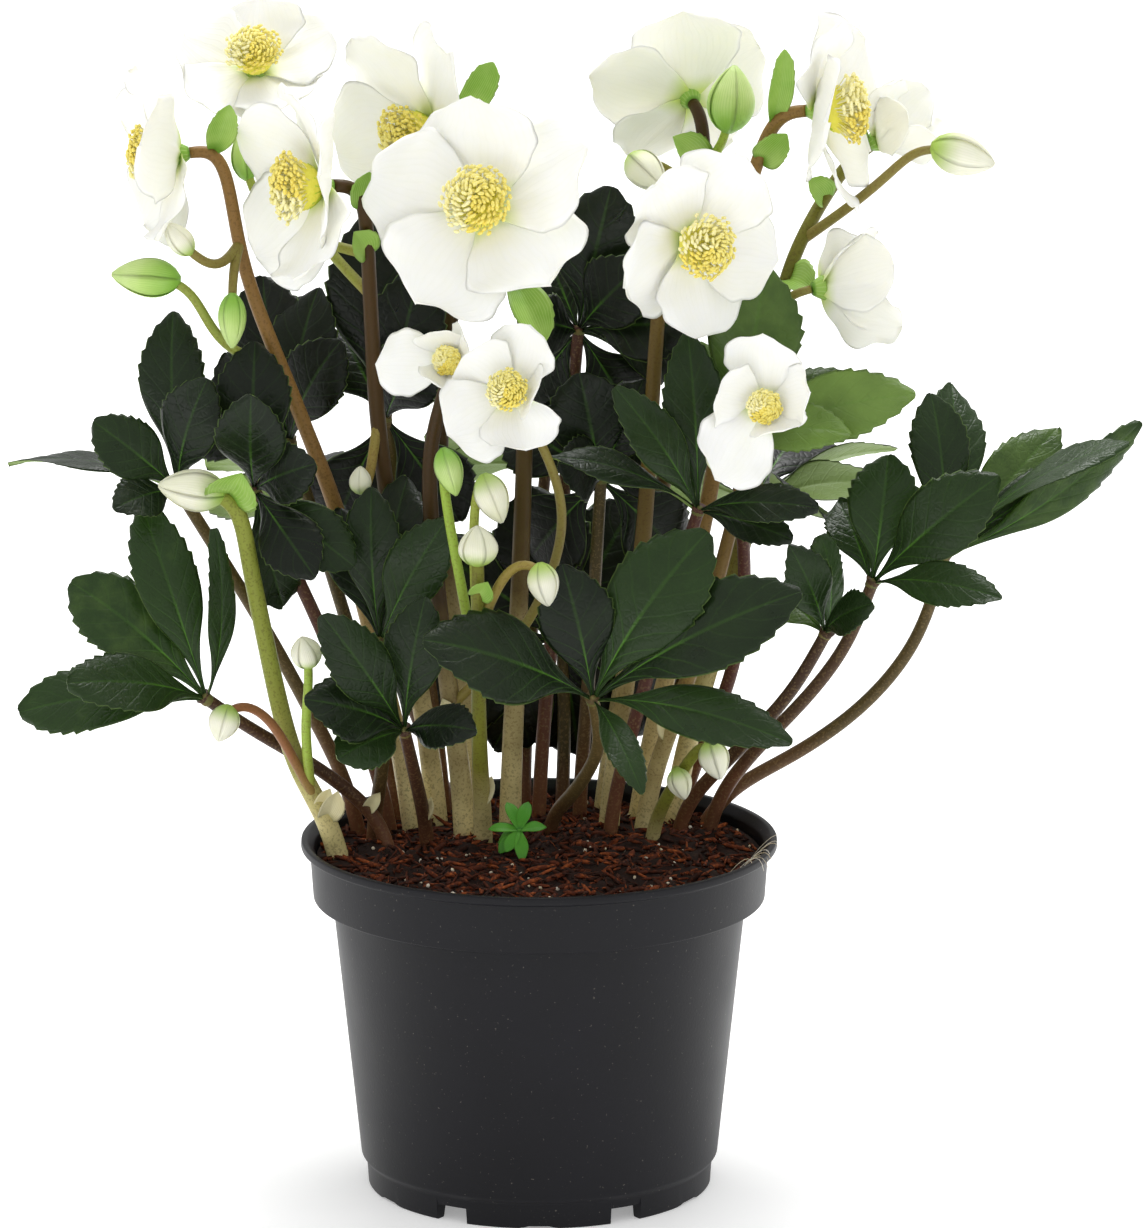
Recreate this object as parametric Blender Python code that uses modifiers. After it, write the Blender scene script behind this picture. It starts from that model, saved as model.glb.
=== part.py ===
"""Christmas rose, a white hellebore, growing in its round black nursery pot.

The pot is turned, with notches round its foot. The soil fills it and has a plain hole for every stem.
Petioles carry the divided leaves, and scapes carry the blooms, bracts and buds.
Lengths are in millimetres until a mesh is made, which is in metres. +Z is up and -Y is the front.
The origin is the middle of the pot's foot.
"""
import math
from dataclasses import dataclass

import bmesh
import bpy
import numpy as np
from mathutils.bvhtree import BVHTree

MM = 0.001
GAP = 0.3
TURN_STEPS = 32

# Pot
POT_HEIGHT = 127.0
LIP_RADIUS = 85.0
LIP_DEPTH = 3.2
COLLAR_TOP_RADIUS = 81.8
COLLAR_FOOT_RADIUS = 80.6
COLLAR_BOTTOM = 105.6
BODY_TOP_RADIUS = 73.9
BODY_FOOT_RADIUS = 64.0
BODY_BOTTOM = 11.0
FOOT_RADIUS = 62.2
WALL = 1.6
FLOOR_UNDERSIDE = 6.0
BOSS_RADIUS = 12.0
NOTCH_COUNT = 6
NOTCH_WIDTH = 12.0
NOTCH_HEIGHT = 5.7
NOTCH_REACH = (54.2, 66.2)
NOTCH_TURN = -60.0
DRAIN_COUNT = 4
DRAIN_RADIUS = 4.5
DRAIN_RING = 38.0
DRAIN_TURN = 11.0
CUT_SPARE = 1.0

# Soil
SOIL_LEVEL = 124.0
SOIL_EDGE = 120.6
SOIL_MOUND = 3.0
SOIL_LUMP = 1.1
SOIL_RINGS = (0.0, 22.0, 42.0, 62.0, 79.4)
ROOT_BOTTOM = 110.0
SOCKET_GAP = 0.9
SOCKET_TOP = 127.5

# Plant
STEM_POINTS = 7
PETIOLE_POINTS = 6
HUB_REACH = 2.0
ROUND_FROM = 2.9
STALK_POINTS = 4
PETIOLE_RADII = (2.7, 2.1, 3.0)
STALK_RADII = (1.9, 1.5)
BLADE_THICK = 1.5
SEPAL_THICK = 1.3
NECK = 3.0
NECK_LENGTH = 11.0
HEART_RISE = 2.4
HEART_RADIUS = 5.4
HEART_FOOT = 2.8
FULL_SEPAL = 36.0
BRUSH_REACH = 15.5
BRUSH_WIDTH = 25.6
CLOSED_LEAN = 60.0
CLOSED_BRUSH = 0.72
CORE_LENGTH = 8.0
CORE_RADII = (3.4, 7.6)
CORE_SIDES = 6
TOP_STAMENS = 2
STAMEN_RADII = (0.8, 2.2)
STAMEN_FOOT = 2.4
OUTER_STAMEN = (44.0, 2.2, 13.5)
INNER_STAMEN = (70.0, 5.2, 8.5)
LEAFLET_DROOP = 20.0
LEAFLET_FOLD = 0.1
BRACT_BEND = (30.0, -10.0)
BRACT_FOLD = 0.25
BUD_GRIP = (0.62, 0.25)
TEST_MARGIN = 0.7
SMOOTH_UP_TO = math.radians(40.0)
UP = np.array((0.0, 0.0, 1.0))


@dataclass(frozen=True)
class Outline:
    """Half widths of a blade along its length, as shares of its half width, with its cross strips."""

    stations: tuple
    strips: int


LEAFLET = Outline(((0.0, 0.04), (0.28, 0.27), (0.58, 1.0), (0.62, 0.86), (0.8, 0.76), (0.83, 0.54),
                   (1.0, 0.0)), 2)
SEPAL = Outline(((0.0, 0.06), (0.34, 0.66), (0.7, 1.0), (0.92, 0.62), (1.0, 0.0)), 2)
BRACT = Outline(((0.0, 0.3), (0.5, 1.0), (1.0, 0.0)), 2)


@dataclass(frozen=True)
class Leaf:
    """One divided leaf: where its petiole stands, its hub, and the tip and width of each leaflet."""

    name: str
    base: tuple
    hub: tuple
    face: tuple
    leaflets: tuple
    via: tuple = ()


@dataclass(frozen=True)
class Bloom:
    """One flower: its heart, sepal length, the way it faces and how far its sepals lean forward."""

    name: str
    at: tuple
    sepal: float
    azimuth: float
    elevation: float
    lean: tuple = (8.0, 26.0)
    spin: float = 28.0
    breadth: float = 1.12
    slope: float = 0.2


@dataclass(frozen=True)
class Bud:
    """A closed bud: its middle, the way its tip points, its length and its width."""

    at: tuple
    points: tuple
    length: float
    width: float


@dataclass(frozen=True)
class Shoot:
    """A stalk that leaves a stem at a share of its length and ends in a bud or a bloom."""

    start: float
    via: tuple
    bud: Bud = None
    bloom: str = ""


@dataclass(frozen=True)
class Scape:
    """A flowering stem with its bloom or bud, its bracts (share, reach, width) and side shoots."""

    name: str
    base: tuple
    via: tuple
    radii: tuple
    bloom: str = ""
    bud: Bud = None
    bracts: tuple = ()
    shoots: tuple = ()


def fan(azimuth, spread, count, length, width, rise):
    """Tips of a fan of leaflets round a hub: the middle ones longest, the outer ones lower."""
    tips = []
    for step in range(count):
        share = 2.0 * step / (count - 1) - 1.0
        turn = math.radians(azimuth + spread * share)
        reach = length * (1.0 - 0.3 * abs(share))
        tips.append((reach * math.sin(turn), reach * math.cos(turn), rise - 14.0 * abs(share), width, 0.0))
    return tuple(tips)


# Each leaflet is its tip from the hub, its width, and its roll about its own midrib.
LEAVES = (
    Leaf("leaf_front", (2, 24), (19, -38, 186), (0, -0.75, 0.65), (
        (-61, -32, 30, 33, 0), (-10, -12, 52, 25, 0), (39, -10, 66, 34, 0), (75, -24, 46, 31, 0),
        (72, -42, -6, 21, 0), (18, -47, -24, 12, 0)), via=((14, -4, 146), (22, -28, 169))),
    Leaf("leaf_front_left", (-40, 9), (-47, -35, 174), (-0.1, -0.8, 0.55), (
        (-29, -23, 49, 21, 0), (8, -5, 52, 21, 0), (-33, -27, 20, 24, 0), (-20, -31, 3, 20, 0),
        (27, -31, 8, 18, 0)), via=((-43, -12, 148),)),
    Leaf("leaf_left_inner", (-60, 16), (-56, -8, 200), (-0.2, -0.9, 0.4), (
        (25, -12, 49, 22, 0), (-3, 3, 58, 20, 0), (10, 23, 58, 21, 0), (-16, 18, 47, 20, 0)),
        via=((-55, 0, 160),)),
    Leaf("leaf_low_left", (-52, 1), (-117, -20, 182), (-0.1, -0.7, 0.7), (
        (-49, -30, 13, 26, 0), (-69, -5, -4, 27, 0), (-51, 12, 42, 28, 0), (-24, 15, 70, 22, 0),
        (4, -10, 67, 12, 50)), via=((-73, -10, 148), (-97, -16, 165))),
    Leaf("leaf_left", (-63, 27), (-127, 0, 253), (-0.2, -0.8, 0.55), (
        (-63, 5, 9, 18, 55), (-31, -5, 27, 21, 0), (12, -12, 45, 23, 0), (-2, 15, 64, 22, 0),
        (-23, -20, -3, 18, 0)), via=((-92, 12, 190),)),
    Leaf("leaf_left_middle", (-52, 24), (-100, -5, 254), (-0.1, -0.9, 0.4), (
        (1, 13, 53, 25, 0), (0, -20, 40, 24, 0), (21, -23, 15, 21, 0), (23, -30, -26, 21, 0),
        (37, -17, -25, 21, 0), (10, 8, -46, 20, 0)), via=((-75, 8, 195),)),
    Leaf("leaf_back_left", (-50, 46), (-89, 38, 262), (-0.3, -0.8, 0.5), (
        (-10, 12, 61, 25, 0), (11, 2, 59, 22, 0), (20, -12, 42, 21, 0), (-24, 18, 31, 21, 0),
        (-40, 8, 6, 20, 0)), via=((-68, 44, 190),)),
    Leaf("leaf_centre_left", (-34, 50), (-55, 42, 270), (0, -0.9, 0.4), (
        (-7, 5, 76, 26, 0), (14, -8, 60, 22, 0), (16, -22, 34, 21, 0), (-17, 22, 29, 21, 0),
        (26, 8, -40, 24, 0), (-20, 14, -46, 24, 0)), via=((-44, 48, 200),)),
    Leaf("leaf_right_inner", (24, 18), (56, -12, 248), (0.1, -0.85, 0.5), (
        (-4, 4, 66, 21, 0), (-31, -17, 50, 18, 0), (44, -32, 8, 15, 0), (34, -22, -6, 14, 0),
        (-58, -10, 18, 14, 30), (-20, 8, 34, 18, 0)), via=((40, 4, 190),)),
    Leaf("leaf_right_upper", (47, 52), (69, 8, 268), (0.1, -0.8, 0.6), (
        (11, -8, 68, 31, 0), (66, -26, 24, 26, 0), (42, -40, 12, 18, 0), (-12, 22, 34, 21, 0),
        (44, 18, 22, 20, 0)), via=((64, 36, 190),)),
    Leaf("leaf_right_low", (48, 28), (101, -10, 203), (0.1, -0.8, 0.6), (
        (-14, -15, 37, 18, 0), (-2, 4, 37, 18, 40), (17, -22, 17, 16, 0), (-16, 18, 10, 16, 0)),
        via=((66, 14, 150), (88, -2, 178))),
    Leaf("leaf_right", (59, 32), (118, 5, 218), (0.1, -0.8, 0.55), (
        (6, 12, 46, 25, 0), (46, -14, 44, 26, 0), (47, -34, 2, 17, 0), (-12, 24, 26, 18, 0)),
        via=((80, 22, 156), (105, 12, 186))),
    Leaf("leaf_far_right", (54, 41), (145, 35, 221), (0.2, -0.7, 0.6), (
        (68, -6, 45, 22, -50), (55, 20, 31, 18, 0), (72, 26, 50, 16, 40), (44, 26, 46, 21, 0),
        (-5, 14, 60, 21, 0), (4, 36, 60, 21, 0)), via=((92, 42, 146), (130, 36, 180))),
    Leaf("leaf_centre_high", (-1, 42), (14, 32, 304), (0, -0.9, 0.4), (
        (12, -10, 56, 25, 0), (24, -24, 30, 21, 0), (40, -30, 10, 21, 0), (-16, -12, 6, 17, 0),
        (-13, 18, 28, 20, 0), (20, 12, -36, 22, 0), (-20, 14, -30, 20, 0), (46, 14, -14, 20, 0)),
         via=((6, 40, 210),)),
    Leaf("leaf_centre", (14, 44), (22, 22, 252), (0, -0.9, 0.4), (
        (-8, -8, 42, 24, 0), (14, -10, 38, 20, 0), (-16, -26, 12, 19, 0), (18, -6, 8, 18, 0),
        (-36, 16, 20, 24, 0), (-26, 20, -34, 24, 0), (30, 20, -34, 24, 0)), via=((18, 36, 180),)),
    Leaf("leaf_low_rear", (8, 56), (8, 66, 184), (0, -0.9, 0.3), (
        (-12, 4, 58, 28, 0), (-50, 8, 34, 28, 0), (28, 12, 52, 26, 0), (48, 18, 16, 26, 0),
        (-54, 6, -6, 24, 0), (40, 6, -36, 24, 0), (-26, 4, -44, 22, 0), (56, 10, -12, 24, 0),
        (7, 5, -50, 22, 0), (-50, 8, -34, 22, 0)), via=((9, 62, 150),)),
    Leaf("leaf_rear_left", (-32, 59), (-72, 84, 224), (-0.4, 0.6, 0.8), fan(-40, 105, 6, 66, 25, 18),
         via=((-48, 74, 160),)),
    Leaf("leaf_rear", (-6, 63), (2, 100, 240), (0, 0.7, 0.8), fan(0, 105, 6, 64, 25, 14),
         via=((-4, 84, 170),)),
    Leaf("leaf_rear_right", (35, 58), (78, 86, 230), (0.4, 0.6, 0.8), fan(42, 105, 6, 66, 25, 18),
         via=((52, 76, 165),)),
)

BLOOMS = (
    Bloom("bloom_front", (-18, -28, 358), 41, -15, 25),
    Bloom("bloom_right_front", (52, -22, 346), 33, 30, 0, spin=58),
    Bloom("bloom_upper_left", (-74, -25, 366), 40, -65, 3, lean=(10, 40), spin=15),
    Bloom("bloom_left", (-125, 0, 373), 35, -80, -6, lean=(10, 40), spin=18),
    Bloom("bloom_top_left", (-100, 42, 396), 30, -5, 48, spin=20),
    Bloom("bloom_back", (-38, 30, 378), 41, -45, -12, spin=50),
    Bloom("bloom_right", (97, 15, 386), 37, 75, 5, lean=(8, 36), spin=35),
    Bloom("bloom_right_low", (99, 8, 324), 31, 105, 4, lean=(24, 78), spin=10, breadth=0.95, slope=0.26),
    Bloom("bloom_small_left", (-31, -28, 305), 20, -6, 12, lean=(24, 80), spin=40, breadth=0.92, slope=0.28),
    Bloom("bloom_small", (-9, -48, 297), 21, -12, 22, lean=(14, 44), spin=75),
    Bloom("bloom_small_right", (78, -42, 292), 24, 0, 8, lean=(20, 70), spin=20, breadth=0.98, slope=0.24),
    Bloom("bloom_rear", (54, 66, 382), 34, -160, 22, spin=10),
    Bloom("bloom_bell", (120, 46, 370), 27, 62, 36, lean=(30, 94), spin=30, breadth=0.74, slope=0.32),
)
CLOSED_BLOOM = "bloom_bell"

SCAPES = (
    Scape("scape_front", (-11, 30), ((-6, 10, 240), (-5, -4, 322)), (3.4, 2.4), bloom="bloom_front",
          bracts=((0.86, (10, -12, -22), 11), (0.95, (24, -2, 6), 9))),
    Scape("scape_right_front", (24, 30), ((36, 18, 220), (42, 0, 318)), (3.2, 2.3),
          bloom="bloom_right_front",
          bracts=((0.93, (-8, 12, -16), 9),)),
    Scape("scape_upper_left", (-36, 38), ((-55, 14, 255), (-58, 2, 306)), (3.3, 2.3),
          bloom="bloom_upper_left",
          bracts=((0.93, (3, -4, 20), 10), (0.86, (-8, -8, 14), 9)),
          shoots=(Shoot(0.8, ((-84, 26, 348),), bloom="bloom_top_left"),
                  Shoot(0.86, ((-92, 6, 346),), bud=Bud((-103, 10, 371), (-0.1, 0, 1), 19, 10)),
                  Shoot(0.62, ((-62, 6, 242),), bud=Bud((-63, 3, 256), (0, -0.2, 1), 11, 8)))),
    Scape("scape_left", (-44, 28), ((-70, 20, 235), (-102, 8, 326)), (3.1, 2.1), bloom="bloom_left",
          bracts=((0.97, (6, -3, 18), 8),),
          shoots=(Shoot(0.84, ((-112, -10, 332),), bud=Bud((-125, -17, 346), (-0.6, -0.2, 0.8), 15, 9)),
                  Shoot(0.68, ((-112, -2, 304), (-119, -6, 326)),
                        bud=Bud((-137, -9, 331), (-1, -0.1, 0.1), 25, 14)),
                  Shoot(0.84, ((-108, -6, 332),), bud=Bud((-107, -11, 316), (0, -0.2, -1), 20, 10)))),
    Scape("scape_back", (-22, 48), ((-36, 46, 250), (-26, 50, 350)), (3.3, 2.4), bloom="bloom_back",
          bracts=((0.95, (12, 4, 22), 9),)),
    Scape("scape_right", (34, 44), ((62, 34, 250), (71, 26, 345)), (3.2, 2.3), bloom="bloom_right",
          bracts=((0.95, (3, 2, 27), 7), (0.9, (10, -7, 12), 9))),
    Scape("scape_far_right", (46, 42), ((74, 36, 230), (86, 26, 320)), (3.4, 2.2), bloom="bloom_bell",
          bracts=((0.9, (-8, -5, 9), 8), (0.78, (10, -14, -4), 11), (0.98, (-2, -4, 17), 8)),
          shoots=(Shoot(0.7, (), bloom="bloom_right_low"),
                  Shoot(0.84, ((108, 8, 357), (132, -1, 376)),
                        bud=Bud((148, -2, 373), (1, 0, -0.3), 24, 15)))),
    Scape("scape_rear_right", (22, 58), ((46, 62, 250), (60, 52, 345)), (3.2, 2.2), bloom="bloom_rear",
          bracts=((0.9, (-14, -12, 14), 10),),
          shoots=(Shoot(0.9, ((66, 44, 368),), bud=Bud((68, 40, 386), (0.1, 0, 1), 25, 17)),
                  Shoot(0.86, ((46, 36, 362),), bud=Bud((38, 28, 362), (0.5, -0.5, -0.4), 20, 13)))),
    Scape("scape_middle", (-26, 20), ((-36, 4, 215), (-38, -8, 272)), (3.5, 2.2), bloom="bloom_small_left",
          shoots=(Shoot(0.3, ((-4, -2, 205), (9, -22, 256)), bloom="bloom_small"),)),
    Scape("scape_middle_right", (36, 32), ((58, 4, 200), (72, -16, 262)), (3.0, 2.0),
          bloom="bloom_small_right",
          bracts=((0.94, (14, -5, 10), 9),),
          shoots=(Shoot(0.86, ((64, -28, 262),), bud=Bud((62, -33, 272), (-0.2, -0.4, 1), 12, 8)),)),
    Scape("scape_bud_left", (-69, -8), ((-86, -12, 156), (-98, -18, 212)), (3.2, 2.9),
          bud=Bud((-121, -22, 258), (-1, -0.1, 0.15), 25, 15),
          bracts=((0.96, (6, -10, 12), 15), (0.17, (5, -8, 14), 7)),
          shoots=(Shoot(0.21, ((-92, -26, 172), (-102, -37, 190)),
                        bud=Bud((-110, -43, 179), (-0.3, -0.1, -1), 14, 11)),
                  Shoot(0.24, ((-82, -30, 176),), bud=Bud((-81, -45, 205), (-0.2, -0.3, 0.9), 13, 11)))),
    Scape("buds_centre", (-20, 10), ((-21, -24, 170), (-21, -42, 215)), (3.0, 2.1),
          bud=Bud((-21, -46, 243), (0, 0, 1), 15, 14),
          bracts=((0.9, (4, -5, 7), 7),),
          shoots=(Shoot(0.8, ((-10, -46, 238), (-4, -50, 242)),
                        bud=Bud((2, -53, 231), (0.2, -0.1, -1), 16, 11)),
                  Shoot(0.72, ((-23, -32, 262),), bud=Bud((-16, -37, 258), (0.4, -0.2, -1), 19, 12)),
                  Shoot(0.66, ((-36, -24, 276),), bud=Bud((-31, -30, 266), (0.3, -0.3, -1), 18, 10)))),
    Scape("buds_right", (40, 16), ((48, 0, 146),), (2.4, 1.8),
          bud=Bud((62, -20, 160), (0.3, -0.2, -1), 15, 11),
          shoots=(Shoot(0.6, ((46, -10, 160),), bud=Bud((50, -15, 150), (0.3, -0.2, -1), 12, 9)),)),
)

SOLVERS = (("EXACT", 0.000004), ("MANIFOLD", 0.000004), ("MANIFOLD", 0.0000002), ("EXACT", 0.0000002))
SEEDLING_AT = (-7, -14)
SEEDLING_HEIGHT = 12.0
SEEDLING_LEAFLETS = 6
SEEDLING_LENGTH = 13.0
SEEDLING_WIDTH = 5.0
SEEDLING_RISES = (22.0, -8.0)
SEEDLING_BEND = (14.0, -22.0)
SEEDLING_STEM = (0.9, 0.8)
SEEDLING_FOOT = 8.5
SEEDLING_THICK = 0.9


def unit(vector):
    """The vector at length one."""
    vector = np.asarray(vector, dtype=float)
    return vector / np.linalg.norm(vector)


def facing(azimuth, elevation):
    """A direction: azimuth 0 looks to the front and turns to +X, elevation turns it up."""
    turn, rise = math.radians(azimuth), math.radians(elevation)
    return np.array((math.sin(turn) * math.cos(rise), -math.cos(turn) * math.cos(rise), math.sin(rise)))


def turned(vector, axis, degrees):
    """The vector turned about an axis."""
    angle, axis = math.radians(degrees), unit(axis)
    along = axis * np.dot(axis, vector)
    return along + (vector - along) * math.cos(angle) + np.cross(axis, vector) * math.sin(angle)


def cross_axes(axis):
    """Two directions at right angles to an axis and to each other."""
    first = unit(np.cross(axis, (0.31, 0.83, 0.11)))
    return first, np.cross(axis, first)


def blade_axes(reach, face, roll):
    """Along, across and out-of-face axes of a blade that reaches one way and faces another."""
    along = unit(reach)
    out = unit(face - along * np.dot(face, along))
    out = turned(out, along, roll)
    return along, np.cross(along, out), out


def blade(root, axes, length, width, outline, thick, bend, slope=0.0, fold=0.0):
    """A closed thin blade: its centre line is an arc, its cross-sections are lenses.

    bend holds the line's angles at root and tip, slope tips one margin up and the other down,
    and fold lifts both margins.
    """
    along, across, out = axes
    first, last = math.radians(bend[0]), math.radians(bend[1])
    shares = np.array([station[0] for station in outline.stations])
    halves = np.array([station[1] for station in outline.stations]) * width * 0.5
    angle = first + (last - first) * shares
    curve = last - first
    forward = length * (np.sin(angle) - math.sin(first)) / curve
    lift = length * (math.cos(first) - np.cos(angle)) / curve
    side = np.linspace(-1.0, 1.0, outline.strips + 1)
    reach = halves[:, None] * side[None, :]
    rise = slope * reach + fold * np.abs(reach)
    half_thick = 0.5 * thick * (1.0 - side[None, :] ** 2) * (1.0 - 0.45 * shares[:, None])
    line = root + forward[:, None] * along + lift[:, None] * out
    normal = -np.sin(angle)[:, None] * along + np.cos(angle)[:, None] * out
    middle = line[:, None, :] + reach[:, :, None] * across + rise[:, :, None] * normal[:, None, :]
    offset = half_thick[:, :, None] * normal[:, None, :]
    return join_faces(middle + offset, middle - offset)


def join_faces(top, bottom):
    """Points and triangles of a blade from its upper and lower grids, which share margins and tip."""
    rows, columns = top.shape[0] - 1, top.shape[1]
    points = np.concatenate((top[:-1].reshape(-1, 3), bottom[:-1, 1:-1].reshape(-1, 3), top[-1:, 0]))
    tip = len(points) - 1
    inner = rows * columns

    def upper(row, column):
        return tip if row == rows else row * columns + column

    def lower(row, column):
        if row == rows or column in (0, columns - 1):
            return upper(row, column)
        return inner + row * (columns - 2) + column - 1

    triangles = []
    for row in range(rows):
        for column in range(columns - 1):
            near, far = (row, column), (row + 1, column + 1)
            for corner in ((row, column + 1), (row + 1, column)):
                order = (near, corner, far) if corner[0] == row else (near, far, corner)
                triangles.append([upper(*spot) for spot in order])
                triangles.append([lower(*spot) for spot in reversed(order)])
    for column in range(columns - 1):
        triangles.append([upper(0, column), lower(0, column), upper(0, column + 1)])
        triangles.append([lower(0, column), lower(0, column + 1), upper(0, column + 1)])
    return points, [triangle for triangle in triangles if len(set(triangle)) == 3]


def smooth_path(points, count):
    """Points spaced evenly along one smooth curve through the given points."""
    knots = np.array(points, dtype=float)
    padded = np.concatenate((2 * knots[:1] - knots[1:2], knots, 2 * knots[-1:] - knots[-2:-1]))
    share = np.linspace(0.0, 1.0, 13)[:-1, None]
    pieces = []
    for start in range(len(knots) - 1):
        before, here, there, after = padded[start:start + 4]
        pieces.append(0.5 * (
            2 * here + (there - before) * share
            + (2 * before - 5 * here + 4 * there - after) * share ** 2
            + (3 * here - before - 3 * there + after) * share ** 3))
    dense = np.concatenate(pieces + [knots[-1:]])
    run = np.concatenate(((0.0,), np.cumsum(np.linalg.norm(np.diff(dense, axis=0), axis=1))))
    wanted = np.linspace(0.0, run[-1], count)
    return np.stack([np.interp(wanted, run, dense[:, axis]) for axis in range(3)], axis=1)


def bowed(path, offset):
    """The path pushed sideways, most in its middle and not at its ends."""
    push = np.sin(np.linspace(0.0, math.pi, len(path)))
    return path + push[:, None] * np.asarray(offset, dtype=float)


def tube_test(path, radii, margin, sides=6):
    """Points and triangles of a plain tube round a path, used only to test for room."""
    steps = np.gradient(path, axis=0)
    steps = steps / np.linalg.norm(steps, axis=1)[:, None]
    first = np.cross(steps, np.array((0.31, 0.83, 0.11)))
    first = first / np.linalg.norm(first, axis=1)[:, None]
    second = np.cross(steps, first)
    turn = np.linspace(0.0, 2.0 * math.pi, sides, endpoint=False)
    ring = np.cos(turn)[None, :, None] * first[:, None] + np.sin(turn)[None, :, None] * second[:, None]
    points = (path[:, None] + ring * (np.asarray(radii) + margin)[:, None, None]).reshape(-1, 3)
    triangles = []
    for row in range(len(path) - 1):
        for side in range(sides):
            here, beside = row * sides + side, row * sides + (side + 1) % sides
            triangles.append((here, beside, beside + sides))
            triangles.append((here, beside + sides, here + sides))
    return points, triangles


def ball_test(centre, points_to, length, width, sides=6, rings=4):
    """Points and triangles of a plain ovoid, used only to test for room."""
    axis = unit(points_to)
    ends = np.linspace(-0.5, 0.5, rings + 1)
    path = np.asarray(centre, dtype=float) + ends[:, None] * axis * length
    radii = np.maximum(0.5 * width * np.sqrt(np.maximum(1.0 - (2.0 * ends) ** 2, 0.0)), 0.4)
    return tube_test(path, radii, TEST_MARGIN, sides)


class Room:
    """The space that the pieces placed so far already fill."""

    def __init__(self):
        self.filled = []
        self.fans = []

    @staticmethod
    def entry(owner, shape):
        """A shape with the box round it, ready to be tested."""
        points, triangles = shape
        tree = BVHTree.FromPolygons(points.tolist(), triangles, all_triangles=True)
        return owner, tree, points.min(axis=0), points.max(axis=0)

    def add(self, owner, shape):
        """Remember a shape as filled."""
        self.filled.append(self.entry(owner, shape))

    def hits(self, shape, others):
        """How many of the other entries a shape cuts."""
        points, triangles = shape
        low, high = points.min(axis=0), points.max(axis=0)
        near = [tree for _, tree, floor, roof in others if (low < roof).all() and (high > floor).all()]
        if not near:
            return 0
        tree = BVHTree.FromPolygons(points.tolist(), triangles, all_triangles=True)
        return sum(1 for other in near if tree.overlap(other))

    def settle(self, owner, options, shape_of, outer_of=None):
        """The first option whose shape is clear, or else the one that cuts the fewest.

        outer_of gives the outer part of a blade, which also keeps clear of the blades round its own hub.
        """
        others = [entry for entry in self.filled if entry[0] != owner]
        siblings = [entry for entry in self.fans if entry[0] == owner]
        best, best_hits = None, None
        for option in options:
            hits = self.hits(shape_of(option), others)
            if outer_of and (best_hits is None or hits < best_hits):
                hits += self.hits(outer_of(option), siblings)
            if best_hits is None or hits < best_hits:
                best, best_hits = option, hits
            if hits == 0:
                break
        self.add(owner, shape_of(best))
        if outer_of:
            self.fans.append(self.entry(owner, outer_of(best)))
        if best_hits:
            print("no room", owner, best, best_hits)
        return best


def side_steps():
    """Sideways pushes for a stem, smallest first."""
    pushes = [(0.0, 0.0, 0.0)]
    for reach in (3.0, 5.0, 8.0, 11.0, 14.0, 18.0, 22.0, 27.0):
        for turn in (90, 270, 45, 135, 225, 315, 0, 180):
            angle = math.radians(turn)
            pushes.append((reach * math.cos(angle), reach * math.sin(angle), 0.0))
    return pushes


def turn_steps():
    """Pitch, yaw and size changes for a blade, smallest first."""
    steps = []
    for size in (1.0, 0.92, 0.84, 0.75, 0.66, 0.55, 0.45):
        for pitch in (0, -6, 6, -12, 12, -18, 18, -25, 25, -33, 33, -42, 42):
            for yaw in (0, -7, 7, -14, 14, -21, 21, -30, 30):
                cost = (1.0 - size) * 130.0 + abs(pitch) * 0.9 + abs(yaw)
                steps.append((cost, pitch, yaw, size))
    steps.sort()
    return [step[1:] for step in steps]


STEM_PUSHES = side_steps()
BLADE_TURNS = turn_steps()


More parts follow.
